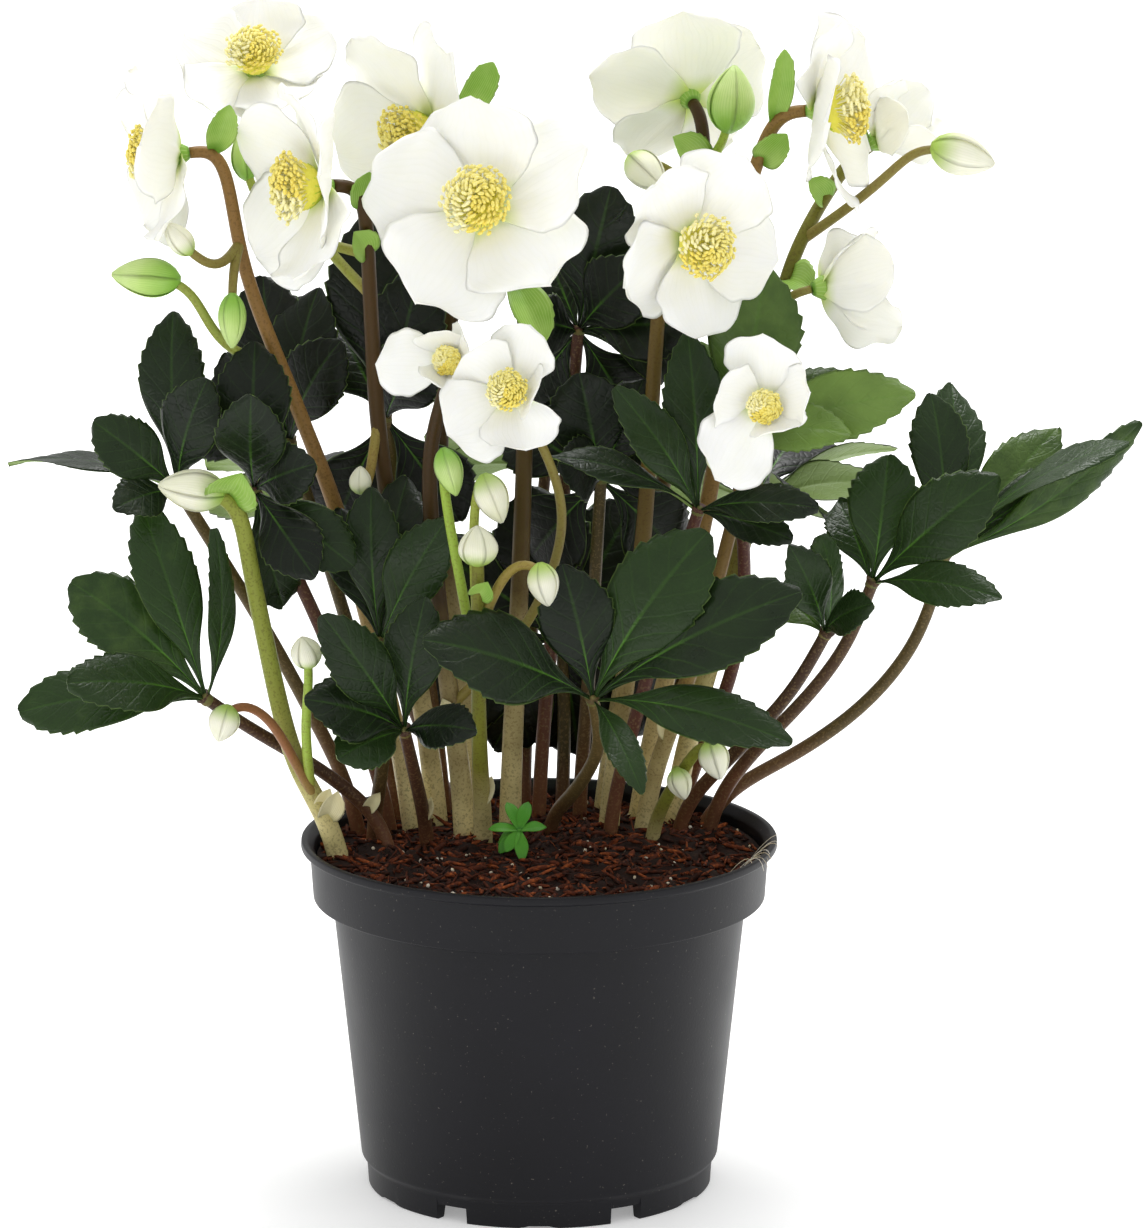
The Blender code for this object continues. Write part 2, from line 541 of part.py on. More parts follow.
class Plant:
    """Finds room for every stem, bloom, bud and blade, and keeps what was settled."""

    def __init__(self):
        self.room = Room()
        self.blooms = {}
        self.stems = []
        self.buds = []
        self.blades = []

    def place_bloom(self, bloom):
        """Settle a bloom by moving it back or forward, then keep its five sepals."""
        shifts = [(0, 0)] + [(dx, dy) for dy in (5, -5, 10, -10, 15) for dx in (0, 4, -4)]
        face = facing(bloom.azimuth, bloom.elevation)

        def heart(shift):
            return np.array(bloom.at, dtype=float) + (shift[0], shift[1], 0.0)

        def whole(shift):
            shapes = [sepal_shape(bloom, heart(shift), index, TEST_MARGIN) for index in range(5)]
            shapes.append(ball_test(heart(shift), face, 2.0 * NECK, 2.0 * HEART_RADIUS))
            if bloom.name != CLOSED_BLOOM:
                size = brush_size(bloom)
                middle = heart(shift) + face * (HEART_RISE + 0.5 * BRUSH_REACH * size)
                shapes.append(ball_test(middle, face, BRUSH_REACH * size, BRUSH_WIDTH * size))
            return merge_shapes(shapes)

        shift = self.room.settle(bloom.name, shifts, whole)
        self.blooms[bloom.name] = (bloom, heart(shift), face)

    def place_stem(self, owner, points, radii, count, rooted, ending=()):
        """Settle a stem by bowing it sideways, all but its ending; returns its path."""
        path = smooth_path([*points, *ending[:1]], count)
        tip = np.reshape(ending[1:], (-1, 3))
        widths = np.linspace(radii[0], radii[1], count + len(tip))
        if len(radii) > 2:
            widths[-1] = radii[2]

        def line_of(offset):
            return np.concatenate((bowed(path, offset), tip))

        def shape(offset):
            line = line_of(offset)
            if not rooted:
                line[0] += (line[1] - line[0]) * 0.35
            line[-1] += unit(line[-2] - line[-1]) * 1.6
            return tube_test(line, widths, TEST_MARGIN)

        settled = line_of(self.room.settle(owner, STEM_PUSHES, shape))
        self.stems.append((owner, settled, widths, rooted))
        return settled

    def place_bud(self, owner, bud):
        """Keep a bud where its stalk ends."""
        self.room.add(owner, ball_test(bud.at, bud.points, bud.length, bud.width))
        self.buds.append((owner, bud))

    def place_blade(self, owner, root, reach, face, roll, width, outline, bend, fold):
        """Settle a blade by turning it about its root and, last, making it smaller."""
        reach = np.array(reach, dtype=float)
        steady = np.array(face, dtype=float)
        first_axes = blade_axes(reach, steady, roll)

        def posed(step):
            pitch, yaw, size = step
            way = turned(turned(reach, first_axes[1], pitch), first_axes[2], yaw)
            return blade_axes(way, steady, roll), np.linalg.norm(reach) * size, width * size

        outer = Outline(outline.stations[1:], outline.strips)

        def shape(step, kept=outline):
            axes, length, wide = posed(step)
            return blade(root, axes, length, wide + TEST_MARGIN, kept, BLADE_THICK + 2 * TEST_MARGIN, bend,
                         fold=fold)

        best = self.room.settle(owner, BLADE_TURNS, shape, lambda step: shape(step, outer))
        axes, length, wide = posed(best)
        self.blades.append((owner, root, axes, length, wide, outline, bend, fold))

    def neck_points(self, name):
        """The last two points of a stem that carries a bloom: behind its heart, then at it."""
        _, heart, face = self.blooms[name]
        return [heart - face * (NECK + NECK_LENGTH), heart - face * (NECK + GAP)]

    def place_scape(self, scape):
        """Settle a scape's main stem, then its shoots and buds."""
        points = [(*scape.base, ROOT_BOTTOM), (*scape.base, SOIL_LEVEL), *scape.via]
        ending = self.ending(scape.bloom, scape.bud)
        path = self.place_stem(scape.name, points, scape.radii, STEM_POINTS, True, ending)
        if scape.bud:
            self.place_bud(scape.name, scape.bud)
        for shoot in scape.shoots:
            start = point_at(path, shoot.start)
            ending = self.ending(shoot.bloom, shoot.bud)
            self.place_stem(scape.name, [start, *shoot.via], STALK_RADII, STALK_POINTS, False, ending)
            if shoot.bud:
                self.place_bud(scape.name, shoot.bud)
        return path

    def ending(self, bloom, bud):
        """The closing points of a stem that ends in a bloom or inside a bud."""
        if bloom:
            return self.neck_points(bloom)
        centre, way = np.array(bud.at, dtype=float), unit(bud.points)
        return [centre - way * grip * bud.length for grip in BUD_GRIP]

    def place_bracts(self, scape, path):
        """Settle the bracts along a scape."""
        for share, reach, width in scape.bracts:
            root = point_at(path, share)
            self.place_blade(scape.name, root, reach, np.cross(np.cross(reach, (0.2, -0.9, 0.3)), reach),
                             0.0, width, BRACT, BRACT_BEND, BRACT_FOLD)

    def place_leaf(self, leaf):
        """Settle a petiole; its leaflets are settled after all stems stand."""
        points = [(*leaf.base, ROOT_BOTTOM), (*leaf.base, SOIL_LEVEL), *leaf.via]
        hub = np.array(leaf.hub, dtype=float)
        tip = hub + unit(hub - points[-1]) * HUB_REACH
        self.place_stem(leaf.name, points, PETIOLE_RADII, PETIOLE_POINTS, True, [hub, tip])

    def place_leaflets(self, leaf):
        """Settle a leaf's leaflets one by one."""
        hub = np.array(leaf.hub, dtype=float)
        for index, (x, y, z, width, roll) in enumerate(leaf.leaflets):
            droop = LEAFLET_DROOP + 4.0 * (index % 3)
            self.place_blade(leaf.name, hub, (x, y, z), leaf.face, roll, width, LEAFLET,
                             (droop, -droop), LEAFLET_FOLD)

    def grow(self):
        """Place everything, the large and the fixed first."""
        for bloom in BLOOMS:
            self.place_bloom(bloom)
        paths = [self.place_scape(scape) for scape in SCAPES]
        for leaf in LEAVES:
            self.place_leaf(leaf)
        for scape, path in zip(SCAPES, paths):
            self.place_bracts(scape, path)
        for leaf in LEAVES:
            self.place_leaflets(leaf)


def point_at(path, share):
    """The point of a path at a share of its length."""
    run = np.concatenate(((0.0,), np.cumsum(np.linalg.norm(np.diff(path, axis=0), axis=1))))
    return np.array([np.interp(share * run[-1], run, path[:, axis]) for axis in range(3)])


def merge_shapes(shapes):
    """Several point and triangle sets as one."""
    points, triangles = [], []
    count = 0
    for some, faces in shapes:
        points.append(some)
        triangles += [tuple(corner + count for corner in face) for face in faces]
        count += len(some)
    return np.concatenate(points), triangles


def brush_size(bloom):
    """Size of a bloom's brush of stamens, smaller where the sepals are half closed."""
    return min(1.0, bloom.sepal / FULL_SEPAL) * (1.0 if bloom.lean[1] < CLOSED_LEAN else CLOSED_BRUSH)


def sepal_shape(bloom, heart, index, margin=0.0):
    """One of the five sepals, each tipped so that one margin lies over its neighbour's."""
    face = facing(bloom.azimuth, bloom.elevation)
    right = unit(np.cross(face, UP)) * -1.0
    over = np.cross(face, right)
    turn = math.radians(bloom.spin + 72.0 * index)
    along = math.cos(turn) * right + math.sin(turn) * over
    length = bloom.sepal * (1.0 + 0.05 * math.cos(2.4 * index))
    axes = (along, np.cross(along, face), face)
    return blade(heart, axes, length, bloom.sepal * bloom.breadth + margin, SEPAL,
                 SEPAL_THICK + 2.0 * margin, bloom.lean, slope=bloom.slope)


# Blender objects

def new_collection(name):
    """A fresh collection linked to the scene."""
    collection = bpy.data.collections.new(name)
    bpy.context.scene.collection.children.link(collection)
    return collection


def make_material(name, colour, roughness):
    """A plain Principled material, its colour given as linear red, green and blue."""
    material = bpy.data.materials.new(name)
    material.use_nodes = True
    shader = material.node_tree.nodes["Principled BSDF"]
    shader.inputs["Base Color"].default_value = (*colour, 1.0)
    shader.inputs["Roughness"].default_value = roughness
    material.diffuse_color = (*colour, 1.0)
    return material


def finished_object(name, work, mesh, collection):
    """An object from a closed working mesh, its faces turned outward."""
    if work.calc_volume(signed=True) < 0.0:
        bmesh.ops.reverse_faces(work, faces=work.faces)
    work.to_mesh(mesh)
    work.free()
    thing = bpy.data.objects.new(name, mesh)
    collection.objects.link(thing)
    return thing


def mesh_object(name, points, faces, collection):
    """An object in metres from points in millimetres."""
    mesh = bpy.data.meshes.new(name)
    mesh.from_pydata((np.asarray(points) * MM).tolist(), [], [list(face) for face in faces])
    work = bmesh.new()
    work.from_mesh(mesh)
    return finished_object(name, work, mesh, collection)


def turned_solid(name, profile, collection):
    """A Screw solid from a profile in millimetres that starts and ends on the axis."""
    mesh = bpy.data.meshes.new(name)
    points = [(radius * MM, 0.0, height * MM) for radius, height in profile]
    mesh.from_pydata(points, [(index, index + 1) for index in range(len(points) - 1)], [])
    thing = bpy.data.objects.new(name, mesh)
    collection.objects.link(thing)
    screw = thing.modifiers.new("turn", "SCREW")
    screw.axis = "Z"
    screw.steps = TURN_STEPS
    screw.render_steps = TURN_STEPS
    screw.use_smooth_shade = True
    screw.use_merge_vertices = True
    screw.merge_threshold = 0.00005
    return thing


def tube_object(name, path, radii, collection):
    """A closed tube made from a bevelled curve, then made a mesh with its caps welded.

    Thick stems have six sides and thin ones four.
    """
    data = bpy.data.curves.new(name, "CURVE")
    data.dimensions = "3D"
    data.bevel_depth = 1.0 * MM
    data.bevel_resolution = 1 if radii[0] >= ROUND_FROM else 0
    data.use_fill_caps = True
    spline = data.splines.new("POLY")
    spline.points.add(len(path) - 1)
    for point, spot, radius in zip(spline.points, path, radii):
        point.co = (*(np.asarray(spot) * MM), 1.0)
        point.radius = radius
    curve = bpy.data.objects.new(name + "_curve", data)
    collection.objects.link(curve)
    graph = bpy.context.evaluated_depsgraph_get()
    mesh = bpy.data.meshes.new_from_object(curve.evaluated_get(graph))
    work = bmesh.new()
    work.from_mesh(mesh)
    bmesh.ops.remove_doubles(work, verts=work.verts, dist=0.00001)
    bmesh.ops.recalc_face_normals(work, faces=work.faces)
    work.to_mesh(mesh)
    work.free()
    thing = bpy.data.objects.new(name, mesh)
    thing.matrix_world = curve.matrix_world
    collection.objects.link(thing)
    bpy.data.objects.remove(curve)
    return thing


def ball_object(name, centre, way, length, width, collection, sides=6, rings=4):
    """An ovoid from a sphere primitive, its long axis along the way given."""
    mesh = bpy.data.meshes.new(name)
    work = bmesh.new()
    bmesh.ops.create_uvsphere(work, u_segments=sides, v_segments=rings, radius=0.5)
    axis = unit(way)
    first, second = cross_axes(axis)
    for vertex in work.verts:
        x, y, z = vertex.co
        spot = np.asarray(centre) + first * x * width + second * y * width + axis * z * length
        vertex.co = spot * MM
    return finished_object(name, work, mesh, collection)


def cone_object(name, start, way, depth, low, high, sides, collection):
    """A cone or frustum primitive set on its wide or narrow end along a direction."""
    mesh = bpy.data.meshes.new(name)
    work = bmesh.new()
    bmesh.ops.create_cone(work, cap_ends=True, segments=sides, radius1=low, radius2=high, depth=depth)
    axis = unit(way)
    first, second = cross_axes(axis)
    for vertex in work.verts:
        x, y, z = vertex.co
        vertex.co = (np.asarray(start) + first * x + second * y + axis * (z + depth * 0.5)) * MM
    return finished_object(name, work, mesh, collection)


def apply_modifiers(thing):
    """Replace an object's mesh by its evaluated one and drop its modifiers."""
    graph = bpy.context.evaluated_depsgraph_get()
    mesh = bpy.data.meshes.new_from_object(thing.evaluated_get(graph))
    thing.modifiers.clear()
    thing.data = mesh


def join_solids(name, solids, collection, scrap):
    """One Boolean union of all the solids, kept under one name."""
    main, others = solids[0], solids[1:]
    group = bpy.data.collections.new(name + "_parts")
    scrap.children.link(group)
    for other in others:
        scrap.objects.unlink(other)
        group.objects.link(other)
    first_mesh = main.data
    for solver, weld in SOLVERS:
        main.data = first_mesh
        union = main.modifiers.new("join", "BOOLEAN")
        union.operation = "UNION"
        union.operand_type = "COLLECTION"
        union.collection = group
        union.solver = solver
        apply_modifiers(main)
        if cleaned(main, weld):
            break
    for other in others:
        bpy.data.objects.remove(other)
    bpy.data.collections.remove(group)
    scrap.objects.unlink(main)
    collection.objects.link(main)
    main.name = name
    main.data.name = name
    return main


def cleaned(thing, weld):
    """Weld coincident points and drop loose scraps; true if what stays is one closed body."""
    work = bmesh.new()
    work.from_mesh(thing.data)
    bmesh.ops.remove_doubles(work, verts=work.verts, dist=weld)
    bmesh.ops.dissolve_degenerate(work, edges=work.edges, dist=weld)
    unseen = set(work.verts)
    bodies = []
    while unseen:
        stack = [unseen.pop()]
        body = set(stack)
        while stack:
            for edge in stack.pop().link_edges:
                for vertex in edge.verts:
                    if vertex in unseen:
                        unseen.discard(vertex)
                        body.add(vertex)
                        stack.append(vertex)
        bodies.append(body)
    bodies.sort(key=len, reverse=True)
    for body in bodies[1:]:
        bmesh.ops.delete(work, geom=list(body), context="VERTS")
    bmesh.ops.triangulate(work, faces=work.faces)
    closed = all(edge.is_manifold for edge in work.edges)
    work.to_mesh(thing.data)
    work.free()
    return closed


# The pot and its soil

def inner_radius(height):
    """Inside radius of the pot's tapered body at a height."""
    share = (height - BODY_BOTTOM) / (COLLAR_BOTTOM - BODY_BOTTOM)
    return BODY_FOOT_RADIUS + (BODY_TOP_RADIUS - BODY_FOOT_RADIUS) * share - WALL


def build_pot(collection, cutters):
    """The turned pot with the notches of its foot and its drain holes cut through."""
    floor_top = FLOOR_UNDERSIDE + WALL
    shelf_top = COLLAR_BOTTOM + WALL
    profile = (
        (0.0, floor_top), (inner_radius(floor_top), floor_top),
        (inner_radius(shelf_top), shelf_top), (COLLAR_FOOT_RADIUS - WALL, shelf_top),
        (COLLAR_TOP_RADIUS - WALL, POT_HEIGHT - LIP_DEPTH), (LIP_RADIUS - 2.0, POT_HEIGHT),
        (LIP_RADIUS - 0.7, POT_HEIGHT - 0.3), (LIP_RADIUS, POT_HEIGHT - 1.4),
        (LIP_RADIUS - 0.3, POT_HEIGHT - 2.8), (COLLAR_TOP_RADIUS, POT_HEIGHT - LIP_DEPTH - 0.6),
        (COLLAR_FOOT_RADIUS, COLLAR_BOTTOM + 0.8), (COLLAR_FOOT_RADIUS - 0.8, COLLAR_BOTTOM),
        (BODY_TOP_RADIUS, COLLAR_BOTTOM),
        (BODY_FOOT_RADIUS, BODY_BOTTOM), (FOOT_RADIUS, BODY_BOTTOM - 2.0), (FOOT_RADIUS - 0.6, 0.0),
        (FOOT_RADIUS - 4.6, 0.0), (FOOT_RADIUS - 5.6, FLOOR_UNDERSIDE),
        (BOSS_RADIUS + 1.5, FLOOR_UNDERSIDE), (BOSS_RADIUS, 0.0), (0.0, 0.0),
    )
    pot = turned_solid("pot", profile, collection)
    tools = new_collection("pot_cuts")
    cutters.children.link(tools)
    bpy.context.scene.collection.children.unlink(tools)
    for index in range(NOTCH_COUNT):
        angle = math.radians(NOTCH_TURN + 360.0 * index / NOTCH_COUNT)
        way = np.array((math.cos(angle), math.sin(angle), 0.0))
        across = np.array((-way[1], way[0], 0.0))
        corners = [way * reach + across * side * NOTCH_WIDTH * 0.5 + UP * height
                   for reach in NOTCH_REACH for side in (-1.0, 1.0)
                   for height in (-2.0 * CUT_SPARE, NOTCH_HEIGHT)]
        sides = ((0, 1, 3, 2), (4, 6, 7, 5), (0, 4, 5, 1), (2, 3, 7, 6), (0, 2, 6, 4), (1, 5, 7, 3))
        hide_cutter(mesh_object("notch_%d" % index, corners, sides, tools))
    for index in range(DRAIN_COUNT):
        angle = math.radians(360.0 * index / DRAIN_COUNT + DRAIN_TURN)
        spot = (DRAIN_RING * math.cos(angle), DRAIN_RING * math.sin(angle), FLOOR_UNDERSIDE - CUT_SPARE)
        depth = WALL + 2.0 * CUT_SPARE
        hide_cutter(cone_object("drain_%d" % index, spot, UP, depth, DRAIN_RADIUS, DRAIN_RADIUS, 6, tools))
    cut = pot.modifiers.new("cuts", "BOOLEAN")
    cut.operation = "DIFFERENCE"
    cut.operand_type = "COLLECTION"
    cut.collection = tools
    return pot


def hide_cutter(thing):
    """Show a cutter as wire only and keep it out of renders."""
    thing.hide_render = True
    thing.display_type = "WIRE"


def soil_height(radius, angle):
    """Height of the soil: a low mound with lumps from a few crossed waves."""
    x, y = radius * math.cos(angle), radius * math.sin(angle)
    lumps = math.sin(0.21 * x + 1.3) * math.cos(0.17 * y - 0.4) + 0.6 * math.sin(0.33 * y + 0.19 * x)
    mound = SOIL_MOUND * (1.0 - (radius / SOIL_RINGS[-1]) ** 2)
    fade = 1.0 - (radius / SOIL_RINGS[-1]) ** 6
    return SOIL_EDGE + mound + SOIL_LUMP * lumps * fade


def build_soil(plant, collection, cutters):
    """The soil: a lumpy top over the pot's inner shape, with a socket round every rooted stem."""
    floor = FLOOR_UNDERSIDE + WALL + GAP
    shelf = COLLAR_BOTTOM + WALL + GAP
    walls = ((COLLAR_FOOT_RADIUS - WALL - GAP, shelf), (inner_radius(shelf) - GAP, shelf),
             (inner_radius(floor) - GAP, floor))
    points = [(0.0, 0.0, soil_height(0.0, 0.0))]
    for radius in SOIL_RINGS[1:]:
        for step in range(TURN_STEPS):
            angle = 2.0 * math.pi * step / TURN_STEPS
            points.append((radius * math.cos(angle), radius * math.sin(angle), soil_height(radius, angle)))
    for radius, height in walls:
        for step in range(TURN_STEPS):
            angle = 2.0 * math.pi * step / TURN_STEPS
            points.append((radius * math.cos(angle), radius * math.sin(angle), height))
    faces = []
    rings = len(SOIL_RINGS) - 1 + len(walls)
    for step in range(TURN_STEPS):
        beside = (step + 1) % TURN_STEPS
        faces.append((0, 1 + step, 1 + beside))
        for ring in range(rings - 1):
            near, far = 1 + ring * TURN_STEPS, 1 + (ring + 1) * TURN_STEPS
            faces.append((near + step, far + step, far + beside))
            faces.append((near + step, far + beside, near + beside))
    last = 1 + (rings - 1) * TURN_STEPS
    faces.append(tuple(last + step for step in reversed(range(TURN_STEPS))))
    soil = mesh_object("soil", points, faces, collection)
    tools = new_collection("soil_cuts")
    cutters.children.link(tools)
    bpy.context.scene.collection.children.unlink(tools)
    for owner, path, widths, rooted in plant.stems:
        if not rooted:
            continue
        inside = path[path[:, 2] < SOCKET_TOP]
        last, beyond = inside[-1], path[len(inside)]
        mouth = last + (beyond - last) * (SOCKET_TOP - last[2]) / (beyond[2] - last[2])
        foot = path[0] - unit(path[1] - path[0]) * SOCKET_GAP
        line = np.concatenate((foot[None], inside[1:], mouth[None]))
        socket = tube_object(owner + "_socket", line, [widths[0] + SOCKET_GAP] * len(line), tools)
        hide_cutter(socket)
    seed = cone_object("seedling_socket", (*SEEDLING_AT, ROOT_BOTTOM + 8.0), UP, 30.0, 1.4, 1.4, 6, tools)
    hide_cutter(seed)
    cut = soil.modifiers.new("sockets", "BOOLEAN")
    cut.operation = "DIFFERENCE"
    cut.operand_type = "COLLECTION"
    cut.collection = tools
    cut.use_self = True
    return soil


# The plant's solids

def build_bloom(plant, name, collection, scrap):
    """The joined sepals of one bloom, and its brush of stamens."""
    bloom, heart, face = plant.blooms[name]
    sepals = [cone_object(name + "_heart", heart - face * NECK, face, NECK + HEART_RISE, HEART_FOOT,
                          HEART_RADIUS, 6, scrap)]
    for index in range(5):
        points, faces = sepal_shape(bloom, heart, index)
        sepals.append(mesh_object("%s_sepal_%d" % (name, index), points, faces, scrap))
    white = join_solids(name + "_sepals", sepals, collection, scrap)
    if name == CLOSED_BLOOM:
        return [white], []
    size = brush_size(bloom)
    foot = heart + face * (HEART_RISE + GAP)
    brush = [cone_object(name + "_core", foot, face, CORE_LENGTH * size, CORE_RADII[0] * size,
                         CORE_RADII[1] * size, CORE_SIDES, scrap)]
    first, second = cross_axes(face)
    for index in range(CORE_SIDES + TOP_STAMENS):
        inner = index >= CORE_SIDES
        turn = 2.0 * math.pi * ((index + 0.5) / CORE_SIDES if not inner else (index + 0.4) / TOP_STAMENS)
        lean, rise, length = INNER_STAMEN if inner else OUTER_STAMEN
        lean = math.radians(lean)
        way = (math.sin(turn) * first + math.cos(turn) * second) * math.cos(lean) + face * math.sin(lean)
        start = foot + face * rise * size + way * STAMEN_FOOT * size
        brush.append(cone_object("%s_stamen_%d" % (name, index), start, way, length * size,
                                 STAMEN_RADII[0] * size, STAMEN_RADII[1] * size, 3, scrap))
    yellow = join_solids(name + "_stamens", brush, collection, scrap)
    return [white], [yellow]


def build_green(plant, owner, collection, scrap):
    """A stem with all that grows on it, joined as one solid."""
    solids = []
    for count, (name, path, widths, _) in enumerate(plant.stems):
        if name == owner:
            solids.append(tube_object("%s_stem_%d" % (owner, count), path, widths, scrap))
    for count, (name, bud) in enumerate(plant.buds):
        if name == owner:
            solids.append(ball_object("%s_bud_%d" % (owner, count), bud.at, bud.points, bud.length,
                                      bud.width, scrap))
    for count, (name, root, axes, length, wide, outline, bend, fold) in enumerate(plant.blades):
        if name == owner:
            points, faces = blade(root, axes, length, wide, outline, BLADE_THICK, bend, fold=fold)
            solids.append(mesh_object("%s_blade_%d" % (owner, count), points, faces, scrap))
    return join_solids(owner, solids, collection, scrap)


def build_seedling(collection, scrap):
    """The bright little seedling at the front of the soil."""
    top = np.array((*SEEDLING_AT, SOIL_EDGE + SEEDLING_HEIGHT))
    foot = np.array((*SEEDLING_AT, ROOT_BOTTOM + SEEDLING_FOOT))
    solids = [tube_object("seedling_stem", (foot, top + UP * 0.6), SEEDLING_STEM, scrap)]
    for index in range(SEEDLING_LEAFLETS):
        way = facing(-150.0 + 60.0 * index, SEEDLING_RISES[index % 2])
        points, faces = blade(top - way * 0.4, blade_axes(way, UP + way * 0.01, 0.0), SEEDLING_LENGTH,
                              SEEDLING_WIDTH, BRACT, SEEDLING_THICK, SEEDLING_BEND)
        solids.append(mesh_object("seedling_blade_%d" % index, points, faces, scrap))
    return join_solids("seedling", solids, collection, scrap)


def dress(things, material):
    """Give every object the material, and shade its round faces smooth."""
    for thing in things:
        thing.data.materials.clear()
        thing.data.materials.append(material)
        thing.data.shade_smooth()
        thing.data.set_sharp_from_angle(angle=SMOOTH_UP_TO)


def main():
    """Build the plant in its pot."""
    for thing in list(bpy.data.objects):
        bpy.data.objects.remove(thing)
    collection = new_collection("hellebore_plant")
    cutters = new_collection("cutters")
    scrap = new_collection("scrap")
    plant = Plant()
    plant.grow()
    pot = build_pot(collection, cutters)
    soil = build_soil(plant, collection, cutters)
    white, yellow = [], []
    for bloom in BLOOMS:
        sepals, stamens = build_bloom(plant, bloom.name, collection, scrap)
        white += sepals
        yellow += stamens
    scapes = [build_green(plant, scape.name, collection, scrap) for scape in SCAPES]
    leaves = [build_green(plant, leaf.name, collection, scrap) for leaf in LEAVES]
    seedling = build_seedling(collection, scrap)
    dress([pot], make_material("pot_plastic", (0.024, 0.025, 0.029), 0.42))
    dress([soil], make_material("bark_soil", (0.07, 0.028, 0.014), 0.95))
    dress(white, make_material("white_sepal", (0.86, 0.86, 0.8), 0.55))
    dress(yellow, make_material("yellow_stamen", (0.85, 0.72, 0.16), 0.6))
    dress(scapes, make_material("scape_green", (0.24, 0.26, 0.1), 0.5))
    dress(leaves, make_material("leaf_green", (0.018, 0.045, 0.02), 0.38))
    dress([seedling], make_material("seedling_green", (0.14, 0.36, 0.05), 0.45))
    bpy.data.collections.remove(scrap)


main()
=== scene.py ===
"""Christmas rose in its round black nursery pot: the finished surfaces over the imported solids.

The plant is grown from the same named values as the solids it stands for, with the same few stems bowed
and blades turned to clear their neighbours. Each leaf, scape, bloom and brush of stamens, the pot and
the soil are then given fine surfaces.
Plant lengths are in millimetres until a mesh is made, which is in metres. +Z is up and -Y is the front.
"""

import logging
import math
from dataclasses import dataclass, fields, replace
from enum import Enum
from functools import cache

import bpy
import numpy as np
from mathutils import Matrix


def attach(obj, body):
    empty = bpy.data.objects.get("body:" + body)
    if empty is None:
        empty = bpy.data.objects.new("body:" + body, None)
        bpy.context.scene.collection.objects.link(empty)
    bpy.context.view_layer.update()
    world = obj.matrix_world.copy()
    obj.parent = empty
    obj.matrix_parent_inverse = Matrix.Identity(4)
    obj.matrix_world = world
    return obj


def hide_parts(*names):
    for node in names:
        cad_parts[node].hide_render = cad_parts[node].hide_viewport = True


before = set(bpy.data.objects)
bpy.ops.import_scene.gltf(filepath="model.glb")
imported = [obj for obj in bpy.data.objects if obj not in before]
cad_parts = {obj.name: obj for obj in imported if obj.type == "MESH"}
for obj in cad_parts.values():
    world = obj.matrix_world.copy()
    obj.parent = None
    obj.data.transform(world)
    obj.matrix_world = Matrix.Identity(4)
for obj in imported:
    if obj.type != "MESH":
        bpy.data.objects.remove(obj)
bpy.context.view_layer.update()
LOG = logging.getLogger("hellebore")

MM = 0.001

GAP = 0.3

# Pot
POT_HEIGHT = 127.0
LIP_RADIUS = 85.0
LIP_DEPTH = 3.2
COLLAR_TOP_RADIUS = 81.8
COLLAR_FOOT_RADIUS = 80.6
COLLAR_BOTTOM = 105.6
BODY_TOP_RADIUS = 73.9
BODY_FOOT_RADIUS = 64.0
BODY_BOTTOM = 11.0
FOOT_RADIUS = 62.2
WALL = 1.6
FLOOR_UNDERSIDE = 6.0
BOSS_RADIUS = 12.0
DRAIN_COUNT = 4
DRAIN_RADIUS = 4.5
DRAIN_RING = 38.0

# Soil
SOIL_LEVEL = 124.0
SOIL_EDGE = 120.6
SOIL_MOUND = 3.0
SOIL_LUMP = 1.1
SOIL_RADIUS = 79.4
ROOT_BOTTOM = 110.0

# Plant
STEM_POINTS = 7
PETIOLE_POINTS = 6
HUB_REACH = 2.0
STALK_POINTS = 4
PETIOLE_RADII = (2.7, 2.1, 3.0)
STALK_RADII = (1.9, 1.5)
NECK = 3.0
NECK_LENGTH = 11.0
HEART_RISE = 2.4
FULL_SEPAL = 36.0
CLOSED_LEAN = 60.0
CLOSED_BRUSH = 0.72
LEAFLET_DROOP = 20.0
LEAFLET_FOLD = 0.1
BRACT_BEND = (30.0, -10.0)
BRACT_FOLD = 0.25
BRACT_FACE = (0.2, -0.9, 0.3)
BUD_GRIP = (0.62, 0.25)
UP = np.array((0.0, 0.0, 1.0))
# No stem or blade lies along this way, so that a cross product with it is never nought
ODD_WAY = np.array((0.31, 0.83, 0.11))
FLAT = np.eye(3)[:2]
GOLDEN_SHARE = 0.618
GOLDEN_ANGLE = 137.508
SEPALS = 5
STEM_SIDES = 12


@dataclass(frozen=True)
class Leaf:
    """One divided leaf: where its petiole stands, its hub, and the tip and width of each leaflet."""

    name: str
    base: tuple
    hub: tuple
    face: tuple
    leaflets: tuple
    via: tuple = ()


@dataclass(frozen=True)
class Bloom:
    """One flower: its heart, sepal length, the way it faces and how far its sepals lean forward."""

    name: str
    at: tuple
    sepal: float
    azimuth: float
    elevation: float
    lean: tuple = (8.0, 26.0)
    spin: float = 28.0
    breadth: float = 1.12
    slope: float = 0.2

    def heart(self) -> np.ndarray:
        """The middle that its sepals start from."""
        return np.array(self.at, dtype=float)

    def face(self) -> np.ndarray:
        """The way it looks."""
        return facing(self.azimuth, self.elevation)

    def brush_size(self) -> float:
        """Size of its brush of stamens, smaller where the sepals are half closed."""
        return min(1.0, self.sepal / FULL_SEPAL) * (1.0 if self.lean[1] < CLOSED_LEAN else CLOSED_BRUSH)

    def sepal_pose(self, index: int) -> tuple:
        """Where a sepal points, as for its solid.

        Args:
            index: Which of its five sepals.

        Returns:
            Its axes, length and width.
        """
        face = self.face()
        right = unit(np.cross(face, UP)) * -1.0
        over = np.cross(face, right)
        turn = math.radians(self.spin + 360.0 / SEPALS * index)
        along = math.cos(turn) * right + math.sin(turn) * over
        length = self.sepal * (1.0 + 0.05 * math.cos(2.4 * index))
        return (along, np.cross(along, face), face), length, self.sepal * self.breadth


